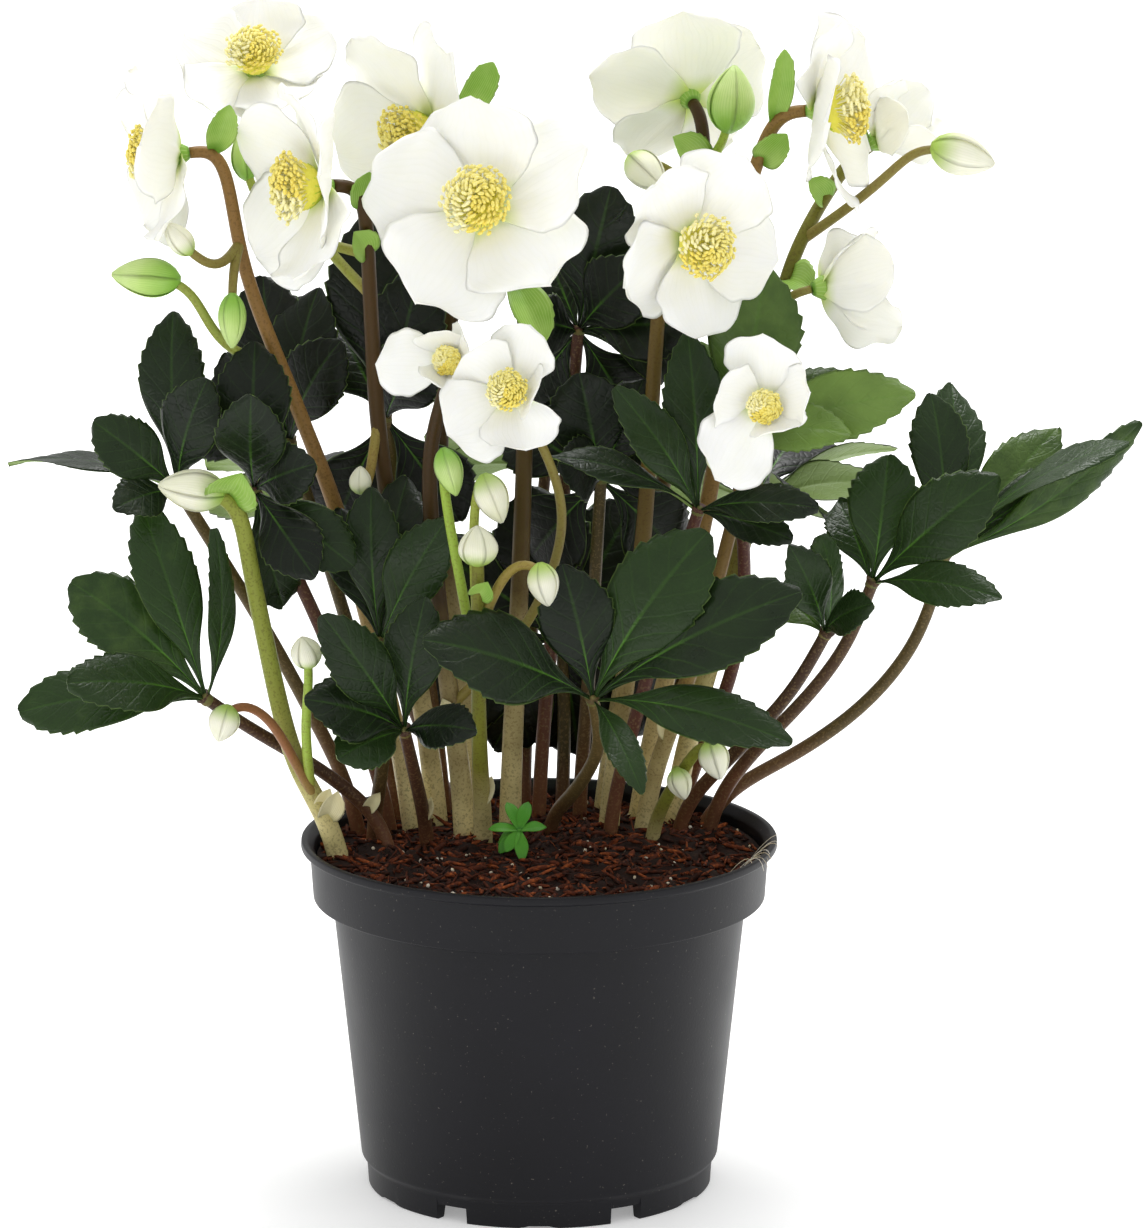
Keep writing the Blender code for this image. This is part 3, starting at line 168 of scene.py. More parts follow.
@dataclass(frozen=True)
class Bud:
    """A closed bud: its middle, the way its tip points, its length and its width."""

    at: tuple
    points: tuple
    length: float
    width: float


@dataclass(frozen=True)
class Shoot:
    """A stalk that leaves a stem at a share of its length and ends in a bud or a bloom."""

    start: float
    via: tuple
    bud: Bud | None = None
    bloom: str = ""


@dataclass(frozen=True)
class Scape:
    """A flowering stem with its bloom or bud, its bracts (share, reach, width) and side shoots."""

    name: str
    base: tuple
    via: tuple
    radii: tuple
    bloom: str = ""
    bud: Bud | None = None
    bracts: tuple = ()
    shoots: tuple = ()


def fan(azimuth: float, spread: float, count: int, length: float, width: float, rise: float) -> tuple:
    """Tips of a fan of leaflets round a hub: the middle ones longest, the outer ones lower.

    Args:
        azimuth: Degrees that the fan's middle is turned by.
        spread: Degrees from its middle to each side.
        count: Number of leaflets.
        length: Reach of the middle one.
        width: Width of each.
        rise: Height of the middle tip over the hub.

    Returns:
        Reach and width of each leaflet.
    """
    tips = []
    for step in range(count):
        share = 2.0 * step / (count - 1) - 1.0
        turn = math.radians(azimuth + spread * share)
        reach = length * (1.0 - 0.3 * abs(share))
        tips.append((reach * math.sin(turn), reach * math.cos(turn), rise - 14.0 * abs(share), width, 0.0))
    return tuple(tips)


# Each leaflet is its tip from the hub, its width, and its roll about its own midrib.
LEAVES = (
    Leaf("leaf_front", (2, 24), (19, -38, 186), (0, -0.75, 0.65), (
        (-61, -32, 30, 33, 0), (-10, -12, 52, 25, 0), (39, -10, 66, 34, 0), (75, -24, 46, 31, 0),
        (72, -42, -6, 21, 0), (18, -47, -24, 12, 0)), via=((14, -4, 146), (22, -28, 169))),
    Leaf("leaf_front_left", (-40, 9), (-47, -35, 174), (-0.1, -0.8, 0.55), (
        (-29, -23, 49, 21, 0), (8, -5, 52, 21, 0), (-33, -27, 20, 24, 0), (-20, -31, 3, 20, 0),
        (27, -31, 8, 18, 0)), via=((-43, -12, 148),)),
    Leaf("leaf_left_inner", (-60, 16), (-56, -8, 200), (-0.2, -0.9, 0.4), (
        (25, -12, 49, 22, 0), (-3, 3, 58, 20, 0), (10, 23, 58, 21, 0), (-16, 18, 47, 20, 0)),
        via=((-55, 0, 160),)),
    Leaf("leaf_low_left", (-52, 1), (-117, -20, 182), (-0.1, -0.7, 0.7), (
        (-49, -30, 13, 26, 0), (-69, -5, -4, 27, 0), (-51, 12, 42, 28, 0), (-24, 15, 70, 22, 0),
        (4, -10, 67, 12, 50)), via=((-73, -10, 148), (-97, -16, 165))),
    Leaf("leaf_left", (-63, 27), (-127, 0, 253), (-0.2, -0.8, 0.55), (
        (-63, 5, 9, 18, 55), (-31, -5, 27, 21, 0), (12, -12, 45, 23, 0), (-2, 15, 64, 22, 0),
        (-23, -20, -3, 18, 0)), via=((-92, 12, 190),)),
    Leaf("leaf_left_middle", (-52, 24), (-100, -5, 254), (-0.1, -0.9, 0.4), (
        (1, 13, 53, 25, 0), (0, -20, 40, 24, 0), (21, -23, 15, 21, 0), (23, -30, -26, 21, 0),
        (37, -17, -25, 21, 0), (10, 8, -46, 20, 0)), via=((-75, 8, 195),)),
    Leaf("leaf_back_left", (-50, 46), (-89, 38, 262), (-0.3, -0.8, 0.5), (
        (-10, 12, 61, 25, 0), (11, 2, 59, 22, 0), (20, -12, 42, 21, 0), (-24, 18, 31, 21, 0),
        (-40, 8, 6, 20, 0)), via=((-68, 44, 190),)),
    Leaf("leaf_centre_left", (-34, 50), (-55, 42, 270), (0, -0.9, 0.4), (
        (-7, 5, 76, 26, 0), (14, -8, 60, 22, 0), (16, -22, 34, 21, 0), (-17, 22, 29, 21, 0),
        (26, 8, -40, 24, 0), (-20, 14, -46, 24, 0)), via=((-44, 48, 200),)),
    Leaf("leaf_right_inner", (24, 18), (56, -12, 248), (0.1, -0.85, 0.5), (
        (-4, 4, 66, 21, 0), (-31, -17, 50, 18, 0), (44, -32, 8, 15, 0), (34, -22, -6, 14, 0),
        (-58, -10, 18, 14, 30), (-20, 8, 34, 18, 0)), via=((40, 4, 190),)),
    Leaf("leaf_right_upper", (47, 52), (69, 8, 268), (0.1, -0.8, 0.6), (
        (11, -8, 68, 31, 0), (66, -26, 24, 26, 0), (42, -40, 12, 18, 0), (-12, 22, 34, 21, 0),
        (44, 18, 22, 20, 0)), via=((64, 36, 190),)),
    Leaf("leaf_right_low", (48, 28), (101, -10, 203), (0.1, -0.8, 0.6), (
        (-14, -15, 37, 18, 0), (-2, 4, 37, 18, 40), (17, -22, 17, 16, 0), (-16, 18, 10, 16, 0)),
        via=((66, 14, 150), (88, -2, 178))),
    Leaf("leaf_right", (59, 32), (118, 5, 218), (0.1, -0.8, 0.55), (
        (6, 12, 46, 25, 0), (46, -14, 44, 26, 0), (47, -34, 2, 17, 0), (-12, 24, 26, 18, 0)),
        via=((80, 22, 156), (105, 12, 186))),
    Leaf("leaf_far_right", (54, 41), (145, 35, 221), (0.2, -0.7, 0.6), (
        (68, -6, 45, 22, -50), (55, 20, 31, 18, 0), (72, 26, 50, 16, 40), (44, 26, 46, 21, 0),
        (-5, 14, 60, 21, 0), (4, 36, 60, 21, 0)), via=((92, 42, 146), (130, 36, 180))),
    Leaf("leaf_centre_high", (-1, 42), (14, 32, 304), (0, -0.9, 0.4), (
        (12, -10, 56, 25, 0), (24, -24, 30, 21, 0), (40, -30, 10, 21, 0), (-16, -12, 6, 17, 0),
        (-13, 18, 28, 20, 0), (20, 12, -36, 22, 0), (-20, 14, -30, 20, 0), (46, 14, -14, 20, 0)),
         via=((6, 40, 210),)),
    Leaf("leaf_centre", (14, 44), (22, 22, 252), (0, -0.9, 0.4), (
        (-8, -8, 42, 24, 0), (14, -10, 38, 20, 0), (-16, -26, 12, 19, 0), (18, -6, 8, 18, 0),
        (-36, 16, 20, 24, 0), (-26, 20, -34, 24, 0), (30, 20, -34, 24, 0)), via=((18, 36, 180),)),
    Leaf("leaf_low_rear", (8, 56), (8, 66, 184), (0, -0.9, 0.3), (
        (-12, 4, 58, 28, 0), (-50, 8, 34, 28, 0), (28, 12, 52, 26, 0), (48, 18, 16, 26, 0),
        (-54, 6, -6, 24, 0), (40, 6, -36, 24, 0), (-26, 4, -44, 22, 0), (56, 10, -12, 24, 0),
        (7, 5, -50, 22, 0), (-50, 8, -34, 22, 0)), via=((9, 62, 150),)),
    Leaf("leaf_rear_left", (-32, 59), (-72, 84, 224), (-0.4, 0.6, 0.8), fan(-40, 105, 6, 66, 25, 18),
         via=((-48, 74, 160),)),
    Leaf("leaf_rear", (-6, 63), (2, 100, 240), (0, 0.7, 0.8), fan(0, 105, 6, 64, 25, 14),
         via=((-4, 84, 170),)),
    Leaf("leaf_rear_right", (35, 58), (78, 86, 230), (0.4, 0.6, 0.8), fan(42, 105, 6, 66, 25, 18),
         via=((52, 76, 165),)),
)

BLOOMS = (
    Bloom("bloom_front", (-18, -28, 358), 41, -15, 25),
    Bloom("bloom_right_front", (52, -22, 346), 33, 30, 0, spin=58),
    Bloom("bloom_upper_left", (-74, -25, 366), 40, -65, 3, lean=(10, 40), spin=15),
    Bloom("bloom_left", (-125, 0, 373), 35, -80, -6, lean=(10, 40), spin=18),
    Bloom("bloom_top_left", (-100, 42, 396), 30, -5, 48, spin=20),
    Bloom("bloom_back", (-38, 30, 378), 41, -45, -12, spin=50),
    Bloom("bloom_right", (97, 15, 386), 37, 75, 5, lean=(8, 36), spin=35),
    Bloom("bloom_right_low", (99, 8, 324), 31, 105, 4, lean=(24, 78), spin=10, breadth=0.95, slope=0.26),
    Bloom("bloom_small_left", (-31, -28, 305), 20, -6, 12, lean=(24, 80), spin=40, breadth=0.92, slope=0.28),
    Bloom("bloom_small", (-9, -48, 297), 21, -12, 22, lean=(14, 44), spin=75),
    Bloom("bloom_small_right", (78, -42, 292), 24, 0, 8, lean=(20, 70), spin=20, breadth=0.98, slope=0.24),
    Bloom("bloom_rear", (54, 66, 382), 34, -160, 22, spin=10),
    Bloom("bloom_bell", (120, 46, 370), 27, 62, 36, lean=(30, 94), spin=30, breadth=0.74, slope=0.32),
)
CLOSED_BLOOM = "bloom_bell"

SCAPES = (
    Scape("scape_front", (-11, 30), ((-6, 10, 240), (-5, -4, 322)), (3.4, 2.4), bloom="bloom_front",
          bracts=((0.86, (10, -12, -22), 11), (0.95, (24, -2, 6), 9))),
    Scape("scape_right_front", (24, 30), ((36, 18, 220), (42, 0, 318)), (3.2, 2.3),
          bloom="bloom_right_front",
          bracts=((0.93, (-8, 12, -16), 9),)),
    Scape("scape_upper_left", (-36, 38), ((-55, 14, 255), (-58, 2, 306)), (3.3, 2.3),
          bloom="bloom_upper_left",
          bracts=((0.93, (3, -4, 20), 10), (0.86, (-8, -8, 14), 9)),
          shoots=(Shoot(0.8, ((-84, 26, 348),), bloom="bloom_top_left"),
                  Shoot(0.86, ((-92, 6, 346),), bud=Bud((-103, 10, 371), (-0.1, 0, 1), 19, 10)),
                  Shoot(0.62, ((-62, 6, 242),), bud=Bud((-63, 3, 256), (0, -0.2, 1), 11, 8)))),
    Scape("scape_left", (-44, 28), ((-70, 20, 235), (-102, 8, 326)), (3.1, 2.1), bloom="bloom_left",
          bracts=((0.97, (6, -3, 18), 8),),
          shoots=(Shoot(0.84, ((-112, -10, 332),), bud=Bud((-125, -17, 346), (-0.6, -0.2, 0.8), 15, 9)),
                  Shoot(0.68, ((-112, -2, 304), (-119, -6, 326)),
                        bud=Bud((-137, -9, 331), (-1, -0.1, 0.1), 25, 14)),
                  Shoot(0.84, ((-108, -6, 332),), bud=Bud((-107, -11, 316), (0, -0.2, -1), 20, 10)))),
    Scape("scape_back", (-22, 48), ((-36, 46, 250), (-26, 50, 350)), (3.3, 2.4), bloom="bloom_back",
          bracts=((0.95, (12, 4, 22), 9),)),
    Scape("scape_right", (34, 44), ((62, 34, 250), (71, 26, 345)), (3.2, 2.3), bloom="bloom_right",
          bracts=((0.95, (3, 2, 27), 7), (0.9, (10, -7, 12), 9))),
    Scape("scape_far_right", (46, 42), ((74, 36, 230), (86, 26, 320)), (3.4, 2.2), bloom="bloom_bell",
          bracts=((0.9, (-8, -5, 9), 8), (0.78, (10, -14, -4), 11), (0.98, (-2, -4, 17), 8)),
          shoots=(Shoot(0.7, (), bloom="bloom_right_low"),
                  Shoot(0.84, ((108, 8, 357), (132, -1, 376)),
                        bud=Bud((148, -2, 373), (1, 0, -0.3), 24, 15)))),
    Scape("scape_rear_right", (22, 58), ((46, 62, 250), (60, 52, 345)), (3.2, 2.2), bloom="bloom_rear",
          bracts=((0.9, (-14, -12, 14), 10),),
          shoots=(Shoot(0.9, ((66, 44, 368),), bud=Bud((68, 40, 386), (0.1, 0, 1), 25, 17)),
                  Shoot(0.86, ((46, 36, 362),), bud=Bud((38, 28, 362), (0.5, -0.5, -0.4), 20, 13)))),
    Scape("scape_middle", (-26, 20), ((-36, 4, 215), (-38, -8, 272)), (3.5, 2.2), bloom="bloom_small_left",
          shoots=(Shoot(0.3, ((-4, -2, 205), (9, -22, 256)), bloom="bloom_small"),)),
    Scape("scape_middle_right", (36, 32), ((58, 4, 200), (72, -16, 262)), (3.0, 2.0),
          bloom="bloom_small_right",
          bracts=((0.94, (14, -5, 10), 9),),
          shoots=(Shoot(0.86, ((64, -28, 262),), bud=Bud((62, -33, 272), (-0.2, -0.4, 1), 12, 8)),)),
    Scape("scape_bud_left", (-69, -8), ((-86, -12, 156), (-98, -18, 212)), (3.2, 2.9),
          bud=Bud((-121, -22, 258), (-1, -0.1, 0.15), 25, 15),
          bracts=((0.96, (6, -10, 12), 15), (0.17, (5, -8, 14), 7)),
          shoots=(Shoot(0.21, ((-92, -26, 172), (-102, -37, 190)),
                        bud=Bud((-110, -43, 179), (-0.3, -0.1, -1), 14, 11)),
                  Shoot(0.24, ((-82, -30, 176),), bud=Bud((-81, -45, 205), (-0.2, -0.3, 0.9), 13, 11)))),
    Scape("buds_centre", (-20, 10), ((-21, -24, 170), (-21, -42, 215)), (3.0, 2.1),
          bud=Bud((-21, -46, 243), (0, 0, 1), 15, 14),
          bracts=((0.9, (4, -5, 7), 7),),
          shoots=(Shoot(0.8, ((-10, -46, 238), (-4, -50, 242)),
                        bud=Bud((2, -53, 231), (0.2, -0.1, -1), 16, 11)),
                  Shoot(0.72, ((-23, -32, 262),), bud=Bud((-16, -37, 258), (0.4, -0.2, -1), 19, 12)),
                  Shoot(0.66, ((-36, -24, 276),), bud=Bud((-31, -30, 266), (0.3, -0.3, -1), 18, 10)))),
    Scape("buds_right", (40, 16), ((48, 0, 146),), (2.4, 1.8),
          bud=Bud((62, -20, 160), (0.3, -0.2, -1), 15, 11),
          shoots=(Shoot(0.6, ((46, -10, 160),), bud=Bud((50, -15, 150), (0.3, -0.2, -1), 12, 9)),)),
)

SEEDLING_AT = (-7, -14)
SEEDLING_HEIGHT = 12.0
SEEDLING_LENGTH = 13.0
SEEDLING_WIDTH = 5.0


def unit(vector: np.ndarray) -> np.ndarray:
    """The vector at length one."""
    vector = np.asarray(vector, dtype=float)
    return vector / np.linalg.norm(vector)


def facing(azimuth: float, elevation: float) -> np.ndarray:
    """A direction: azimuth 0 looks to the front and turns to +X, elevation turns it up."""
    turn, rise = math.radians(azimuth), math.radians(elevation)
    return np.array((math.sin(turn) * math.cos(rise), -math.cos(turn) * math.cos(rise), math.sin(rise)))


def turned(vector: np.ndarray, axis: np.ndarray, degrees: float) -> np.ndarray:
    """The vector turned about an axis.

    Args:
        vector: What is turned.
        axis: What it is turned about.
        degrees: How far.

    Returns:
        The turned vector.
    """
    angle, axis = math.radians(degrees), unit(axis)
    along = axis * np.dot(axis, vector)
    return along + (vector - along) * math.cos(angle) + np.cross(axis, vector) * math.sin(angle)


def unit_rows(vectors: np.ndarray) -> np.ndarray:
    """Vectors at length one, whatever rows they stand in."""
    return vectors / np.linalg.norm(vectors, axis=-1, keepdims=True)


def cross_axes(axis: np.ndarray) -> tuple:
    """Two directions at right angles to an axis and to each other."""
    first = unit(np.cross(axis, ODD_WAY))
    return first, np.cross(axis, first)


def frames_round(ways: np.ndarray) -> np.ndarray:
    """Two directions at right angles to each way and to each other, then the way itself.

    Args:
        ways: Unit directions, in rows.

    Returns:
        Three directions for each way, stacked before the last axis.
    """
    first = unit_rows(np.cross(ways, ODD_WAY))
    return np.stack((first, np.cross(ways, first), ways), axis=-2)


def circle(turns: np.ndarray, first: np.ndarray, second: np.ndarray) -> np.ndarray:
    """Directions that turn from one axis towards another: cosine of the first plus sine of the second.

    Args:
        turns: Angles in radians.
        first: The direction at angle zero, or rows of them.
        second: The direction at a right angle, or rows of them.

    Returns:
        One direction for each angle.
    """
    return np.cos(turns)[:, None] * first + np.sin(turns)[:, None] * second


def even_turns(count: int) -> np.ndarray:
    """Angles evenly spaced round a full turn, in radians."""
    return np.linspace(0.0, 2.0 * math.pi, count, endpoint=False)


def blade_axes(reach: np.ndarray, face: np.ndarray, roll: float) -> tuple:
    """Along, across and out-of-face axes of a blade that reaches one way and faces another.

    Args:
        reach: Which way the blade reaches.
        face: Which way it faces.
        roll: Degrees it is rolled about its reach.

    Returns:
        The three directions.
    """
    along = unit(reach)
    out = unit(face - along * np.dot(face, along))
    out = turned(out, along, roll)
    return along, np.cross(along, out), out


def smooth_path(points: list, count: int) -> np.ndarray:
    """Points spaced evenly along one smooth curve through the given points.

    Args:
        points: Points that the curve goes through.
        count: Number of points wanted.

    Returns:
        The spaced points.
    """
    knots = np.array(points, dtype=float)
    padded = np.concatenate((2 * knots[:1] - knots[1:2], knots, 2 * knots[-1:] - knots[-2:-1]))
    share = np.linspace(0.0, 1.0, 13)[:-1, None]
    pieces = []
    for start in range(len(knots) - 1):
        before, here, there, after = padded[start:start + 4]
        pieces.append(0.5 * (
            2 * here + (there - before) * share
            + (2 * before - 5 * here + 4 * there - after) * share ** 2
            + (3 * here - before - 3 * there + after) * share ** 3))
    dense = np.concatenate(pieces + [knots[-1:]])
    run = np.concatenate(((0.0,), np.cumsum(np.linalg.norm(np.diff(dense, axis=0), axis=1))))
    wanted = np.linspace(0.0, run[-1], count)
    return np.stack([np.interp(wanted, run, dense[:, axis]) for axis in range(3)], axis=1)


# Stems that are bowed to clear their neighbours, by owner and order: how far, and towards which angle
BOWED = {("scape_far_right", 2): (11.0, 45), ("leaf_low_left", 0): (11.0, 90),
         ("leaf_right_upper", 0): (8.0, 0)}
# Blades that are turned to clear their neighbours, by owner and order: pitch and yaw
TURNED = {("scape_far_right", 2): (-6, 14), ("leaf_front", 1): (-6, 0), ("leaf_front", 2): (-6, 0),
          ("leaf_front_left", 2): (-6, 0), ("leaf_front_left", 3): (-12, 0),
          ("leaf_left_inner", 3): (-6, 0), ("leaf_left_middle", 0): (6, 0),
          ("leaf_left_middle", 2): (-6, 0), ("leaf_centre_left", 4): (6, 0),
          ("leaf_right_inner", 4): (6, 0), ("leaf_far_right", 2): (6, 0), ("leaf_far_right", 3): (-6, 0),
          ("leaf_centre_high", 2): (-12, 0), ("leaf_centre", 1): (-12, 0), ("leaf_centre", 3): (-18, 0),
          ("leaf_low_rear", 2): (-6, 0), ("leaf_low_rear", 5): (-6, 0), ("leaf_low_rear", 7): (-18, 0),
          ("leaf_low_rear", 8): (-6, 0), ("leaf_low_rear", 9): (6, 0), ("leaf_rear_left", 3): (-6, 0)}


@dataclass(frozen=True)
class Stem:
    """A placed stem: its solid's name, its points and their radii, and whether it stands in the soil."""

    owner: str
    path: np.ndarray
    radii: np.ndarray
    rooted: bool


@dataclass(frozen=True)
class Blade:
    """A placed blade: its axes are along, across and out of its face, its bend two angles in degrees.

    The fold lifts both margins and the slope one of them, by their share of the reach across.
    """

    root: np.ndarray
    axes: tuple
    length: float
    width: float
    bend: tuple
    fold: float = 0.0
    slope: float = 0.0
    owner: str = ""


class Plant:
    """Every stem, bud and blade of the plant, placed where its solid is."""

    def __init__(self) -> None:
        """Place the scapes, then the petioles, the bracts and the leaflets."""
        self.stems = []
        self.buds = []
        self.blades = []
        paths = [self.place_scape(scape) for scape in SCAPES]
        for leaf in LEAVES:
            self.place_petiole(leaf)
        for scape, path in zip(SCAPES, paths):
            self.place_bracts(scape, path)
        for leaf in LEAVES:
            self.place_leaflets(leaf)

    def place_stem(self, owner: str, points: list, radii: tuple, count: int, rooted: bool,
                   ending: list) -> np.ndarray:
        """Keep a stem, bowed where its solid is: the push is half a sine wave along it.

        Args:
            owner: The solid that it belongs to.
            points: Points that it goes through.
            radii: Radius at its foot, its top and, where given, its tip.
            count: Points along it, up to its ending.
            rooted: Whether it stands in the soil.
            ending: Two points that close it.

        Returns:
            Its path.
        """
        path = smooth_path([*points, ending[0]], count)
        widths = np.linspace(radii[0], radii[1], count + 1)
        if len(radii) > 2:
            widths[-1] = radii[2]
        reach, turn = BOWED.get((owner, sum(stem.owner == owner for stem in self.stems)), (0.0, 0.0))
        angle = math.radians(turn)
        push = np.sin(np.linspace(0.0, math.pi, count))[:, None]
        line = path + push * np.array((reach * math.cos(angle), reach * math.sin(angle), 0.0))
        line = np.concatenate((line, ending[1:]))
        self.stems.append(Stem(owner, line, widths, rooted))
        return line

    def place_blade(self, owner: str, root: np.ndarray, reach: tuple, face: tuple, roll: float, width: float,
                    bend: tuple, fold: float) -> None:
        """Keep a blade, turned about its root where its solid is.

        Args:
            owner: The solid that it belongs to.
            root: Where it starts.
            reach: From its root to its tip.
            face: Which way it faces.
            roll: Degrees it is rolled.
            width: Full width.
            bend: Angles of its line.
            fold: Rise of both margins.
        """
        reach, steady = np.array(reach, dtype=float), np.array(face, dtype=float)
        axes = blade_axes(reach, steady, roll)
        order = sum(blade.owner == owner for blade in self.blades)
        pitch, yaw = TURNED.get((owner, order), (0, 0))
        way = turned(turned(reach, axes[1], pitch), axes[2], yaw)
        placed = blade_axes(way, steady, roll)
        self.blades.append(Blade(root, placed, np.linalg.norm(reach), width, bend, fold, owner=owner))

    def place_scape(self, scape: Scape) -> np.ndarray:
        """Keep a scape's main stem, its shoots and its buds.

        Args:
            scape: The flowering stem.

        Returns:
            Its main stem's path.
        """
        points = [(*scape.base, ROOT_BOTTOM), (*scape.base, SOIL_LEVEL), *scape.via]
        path = self.place_stem(scape.name, points, scape.radii, STEM_POINTS, True, ending(scape))
        for shoot in scape.shoots:
            points = [point_at(path, shoot.start), *shoot.via]
            self.place_stem(scape.name, points, STALK_RADII, STALK_POINTS, False, ending(shoot))
        self.buds += [(scape.name, carrier.bud) for carrier in (scape, *scape.shoots) if carrier.bud]
        return path

    def place_petiole(self, leaf: Leaf) -> None:
        """Keep a leaf's petiole, which ends a little beyond its hub.

        Args:
            leaf: The leaf.
        """
        points = [(*leaf.base, ROOT_BOTTOM), (*leaf.base, SOIL_LEVEL), *leaf.via]
        hub = np.array(leaf.hub, dtype=float)
        tip = hub + unit(hub - points[-1]) * HUB_REACH
        self.place_stem(leaf.name, points, PETIOLE_RADII, PETIOLE_POINTS, True, [hub, tip])

    def place_bracts(self, scape: Scape, path: np.ndarray) -> None:
        """Keep the bracts along a scape, faced to the front as far as their reach allows.

        Args:
            scape: The flowering stem.
            path: Its path.
        """
        for share, reach, width in scape.bracts:
            root, face = point_at(path, share), np.cross(np.cross(reach, BRACT_FACE), reach)
            self.place_blade(scape.name, root, reach, face, 0.0, width, BRACT_BEND, BRACT_FOLD)

    def place_leaflets(self, leaf: Leaf) -> None:
        """Keep a leaf's leaflets, each drooping a little more than the one before, in threes.

        Args:
            leaf: The leaf.
        """
        hub = np.array(leaf.hub, dtype=float)
        for index, (*reach, width, roll) in enumerate(leaf.leaflets):
            droop = LEAFLET_DROOP + 4.0 * (index % 3)
            self.place_blade(leaf.name, hub, reach, leaf.face, roll, width, (droop, -droop), LEAFLET_FOLD)


def ending(carrier: Scape | Shoot) -> list:
    """The closing points of a stem: behind its bloom's heart, or inside its bud.

    Args:
        carrier: A scape or a shoot.

    Returns:
        Two points.
    """
    if carrier.bloom:
        bloom = next(bloom for bloom in BLOOMS if bloom.name == carrier.bloom)
        return [bloom.heart() - bloom.face() * (NECK + behind) for behind in (NECK_LENGTH, GAP)]
    centre, way = np.array(carrier.bud.at, dtype=float), unit(carrier.bud.points)
    return [centre - way * grip * carrier.bud.length for grip in BUD_GRIP]


def point_at(path: np.ndarray, share: float) -> np.ndarray:
    """The point of a path at a share of its length."""
    run = np.concatenate(((0.0,), np.cumsum(np.linalg.norm(np.diff(path, axis=0), axis=1))))
    return np.array([np.interp(share * run[-1], run, path[:, axis]) for axis in range(3)])


def inner_radius(height: float) -> float:
    """Inside radius of the pot's tapered body at a height."""
    share = (height - BODY_BOTTOM) / (COLLAR_BOTTOM - BODY_BOTTOM)
    return BODY_FOOT_RADIUS + (BODY_TOP_RADIUS - BODY_FOOT_RADIUS) * share - WALL


# Surfaces

@dataclass
class Skin:
    """A closed surface: points in millimetres, triangles, UV, underside flags, tints and finish numbers."""

    points: np.ndarray
    faces: np.ndarray
    uv: np.ndarray
    under: np.ndarray
    tint: np.ndarray
    finish: np.ndarray


def value_hash(*keys: float) -> float:
    """A steady number from 0 to 1 for some keys: the fraction of a large sine.

    Args:
        keys: Numbers that name what the value is for.

    Returns:
        The value, the same each time for the same keys.
    """
    total = sum(key * step for key, step in zip(keys, (12.9898, 78.233, 37.719, 9.151)))
    return (math.sin(total) * 43758.5453) % 1.0


def eased(knots: tuple, shares: np.ndarray) -> np.ndarray:
    """Values of a smooth curve through knots: cubic pieces whose slopes are the knots' mean slopes.

    Args:
        knots: Pairs of share and value, by rising share.
        shares: Where to read the curve.

    Returns:
        The curve's values.
    """
    xs, ys = np.array(knots, dtype=float).T
    slopes = np.gradient(ys, xs)
    spot = np.clip(np.searchsorted(xs, shares, side="right") - 1, 0, len(xs) - 2)
    span = xs[spot + 1] - xs[spot]
    part = (shares - xs[spot]) / span
    return (ys[spot] * (1 + 2 * part) * (1 - part) ** 2 + slopes[spot] * span * part * (1 - part) ** 2
            + ys[spot + 1] * part ** 2 * (3 - 2 * part) + slopes[spot + 1] * span * part ** 2 * (part - 1))


def ring_faces(rows: int, ring: int) -> np.ndarray:
    """Triangles between rows of closed rings, and to a middle point at each end.

    Point (row, spot) has the number row * ring + spot; the two middle points come last.

    Args:
        rows: Number of rings.
        ring: Number of points in each.

    Returns:
        Triangles as rows of three point numbers.
    """
    row, spot = np.meshgrid(np.arange(rows - 1), np.arange(ring), indexing="ij")
    beside = (spot + 1) % ring
    a, b = row * ring + spot, row * ring + beside
    c, d = a + ring, b + ring
    faces = [np.stack((a, b, d), axis=-1).reshape(-1, 3), np.stack((a, d, c), axis=-1).reshape(-1, 3)]
    spots = np.arange(ring)
    nexts = (spots + 1) % ring
    far = (rows - 1) * ring
    faces.append(np.stack((np.full(ring, rows * ring), nexts, spots), axis=-1))
    faces.append(np.stack((np.full(ring, rows * ring + 1), far + spots, far + nexts), axis=-1))
    return np.concatenate(faces)


def grid_uv(along: np.ndarray, across: np.ndarray) -> np.ndarray:
    """UV of a grid: a share along its rows, and a share across its columns."""
    return np.stack(np.broadcast_arrays(along[:, None], across[None]), axis=-1)


def closed_skin(rings: np.ndarray, tint: float, finish: int, uv: np.ndarray | None = None,
                under: np.ndarray | None = None) -> Skin:
    """A closed skin over rows of rings, turned so that its faces point outward.

    Args:
        rings: Points as rows by ring by three.
        tint: One value for the whole skin.
        finish: Number of its finish in the piece.
        uv: UV of the same points, rows by ring by two, or nought.
        under: Underside flag of the same points, rows by ring, or nought.

    Returns:
        The skin.
    """
    rows, ring = rings.shape[:2]
    uv = np.zeros((rows, ring, 2)) if uv is None else uv
    under = np.zeros((rows, ring)) if under is None else under
    points = np.concatenate((rings.reshape(-1, 3), rings[:1].mean(axis=1), rings[-1:].mean(axis=1)))
    faces = outward(points, ring_faces(rows, ring))
    ends = np.stack((uv[0].mean(axis=0), uv[-1].mean(axis=0)))
    flat_uv = np.concatenate((uv.reshape(-1, 2), ends))
    flat_under = np.concatenate((under.ravel(), (under[0].mean(), under[-1].mean())))
    return Skin(points, faces, flat_uv, flat_under, np.full(len(points), tint), np.full(len(faces), finish))


def outward(points: np.ndarray, faces: np.ndarray) -> np.ndarray:
    """The faces, turned over if the volume that they enclose is negative.

    The volume is a sixth of the sum of each triangle's corner triple product.

    Args:
        points: Points of a closed surface.
        faces: Its triangles.

    Returns:
        Triangles that point outward.
    """
    a, b, c = (points[faces[:, corner]] for corner in range(3))
    volume = np.einsum("ij,ij->i", a, np.cross(b, c)).sum()
    return faces if volume >= 0.0 else faces[:, ::-1]


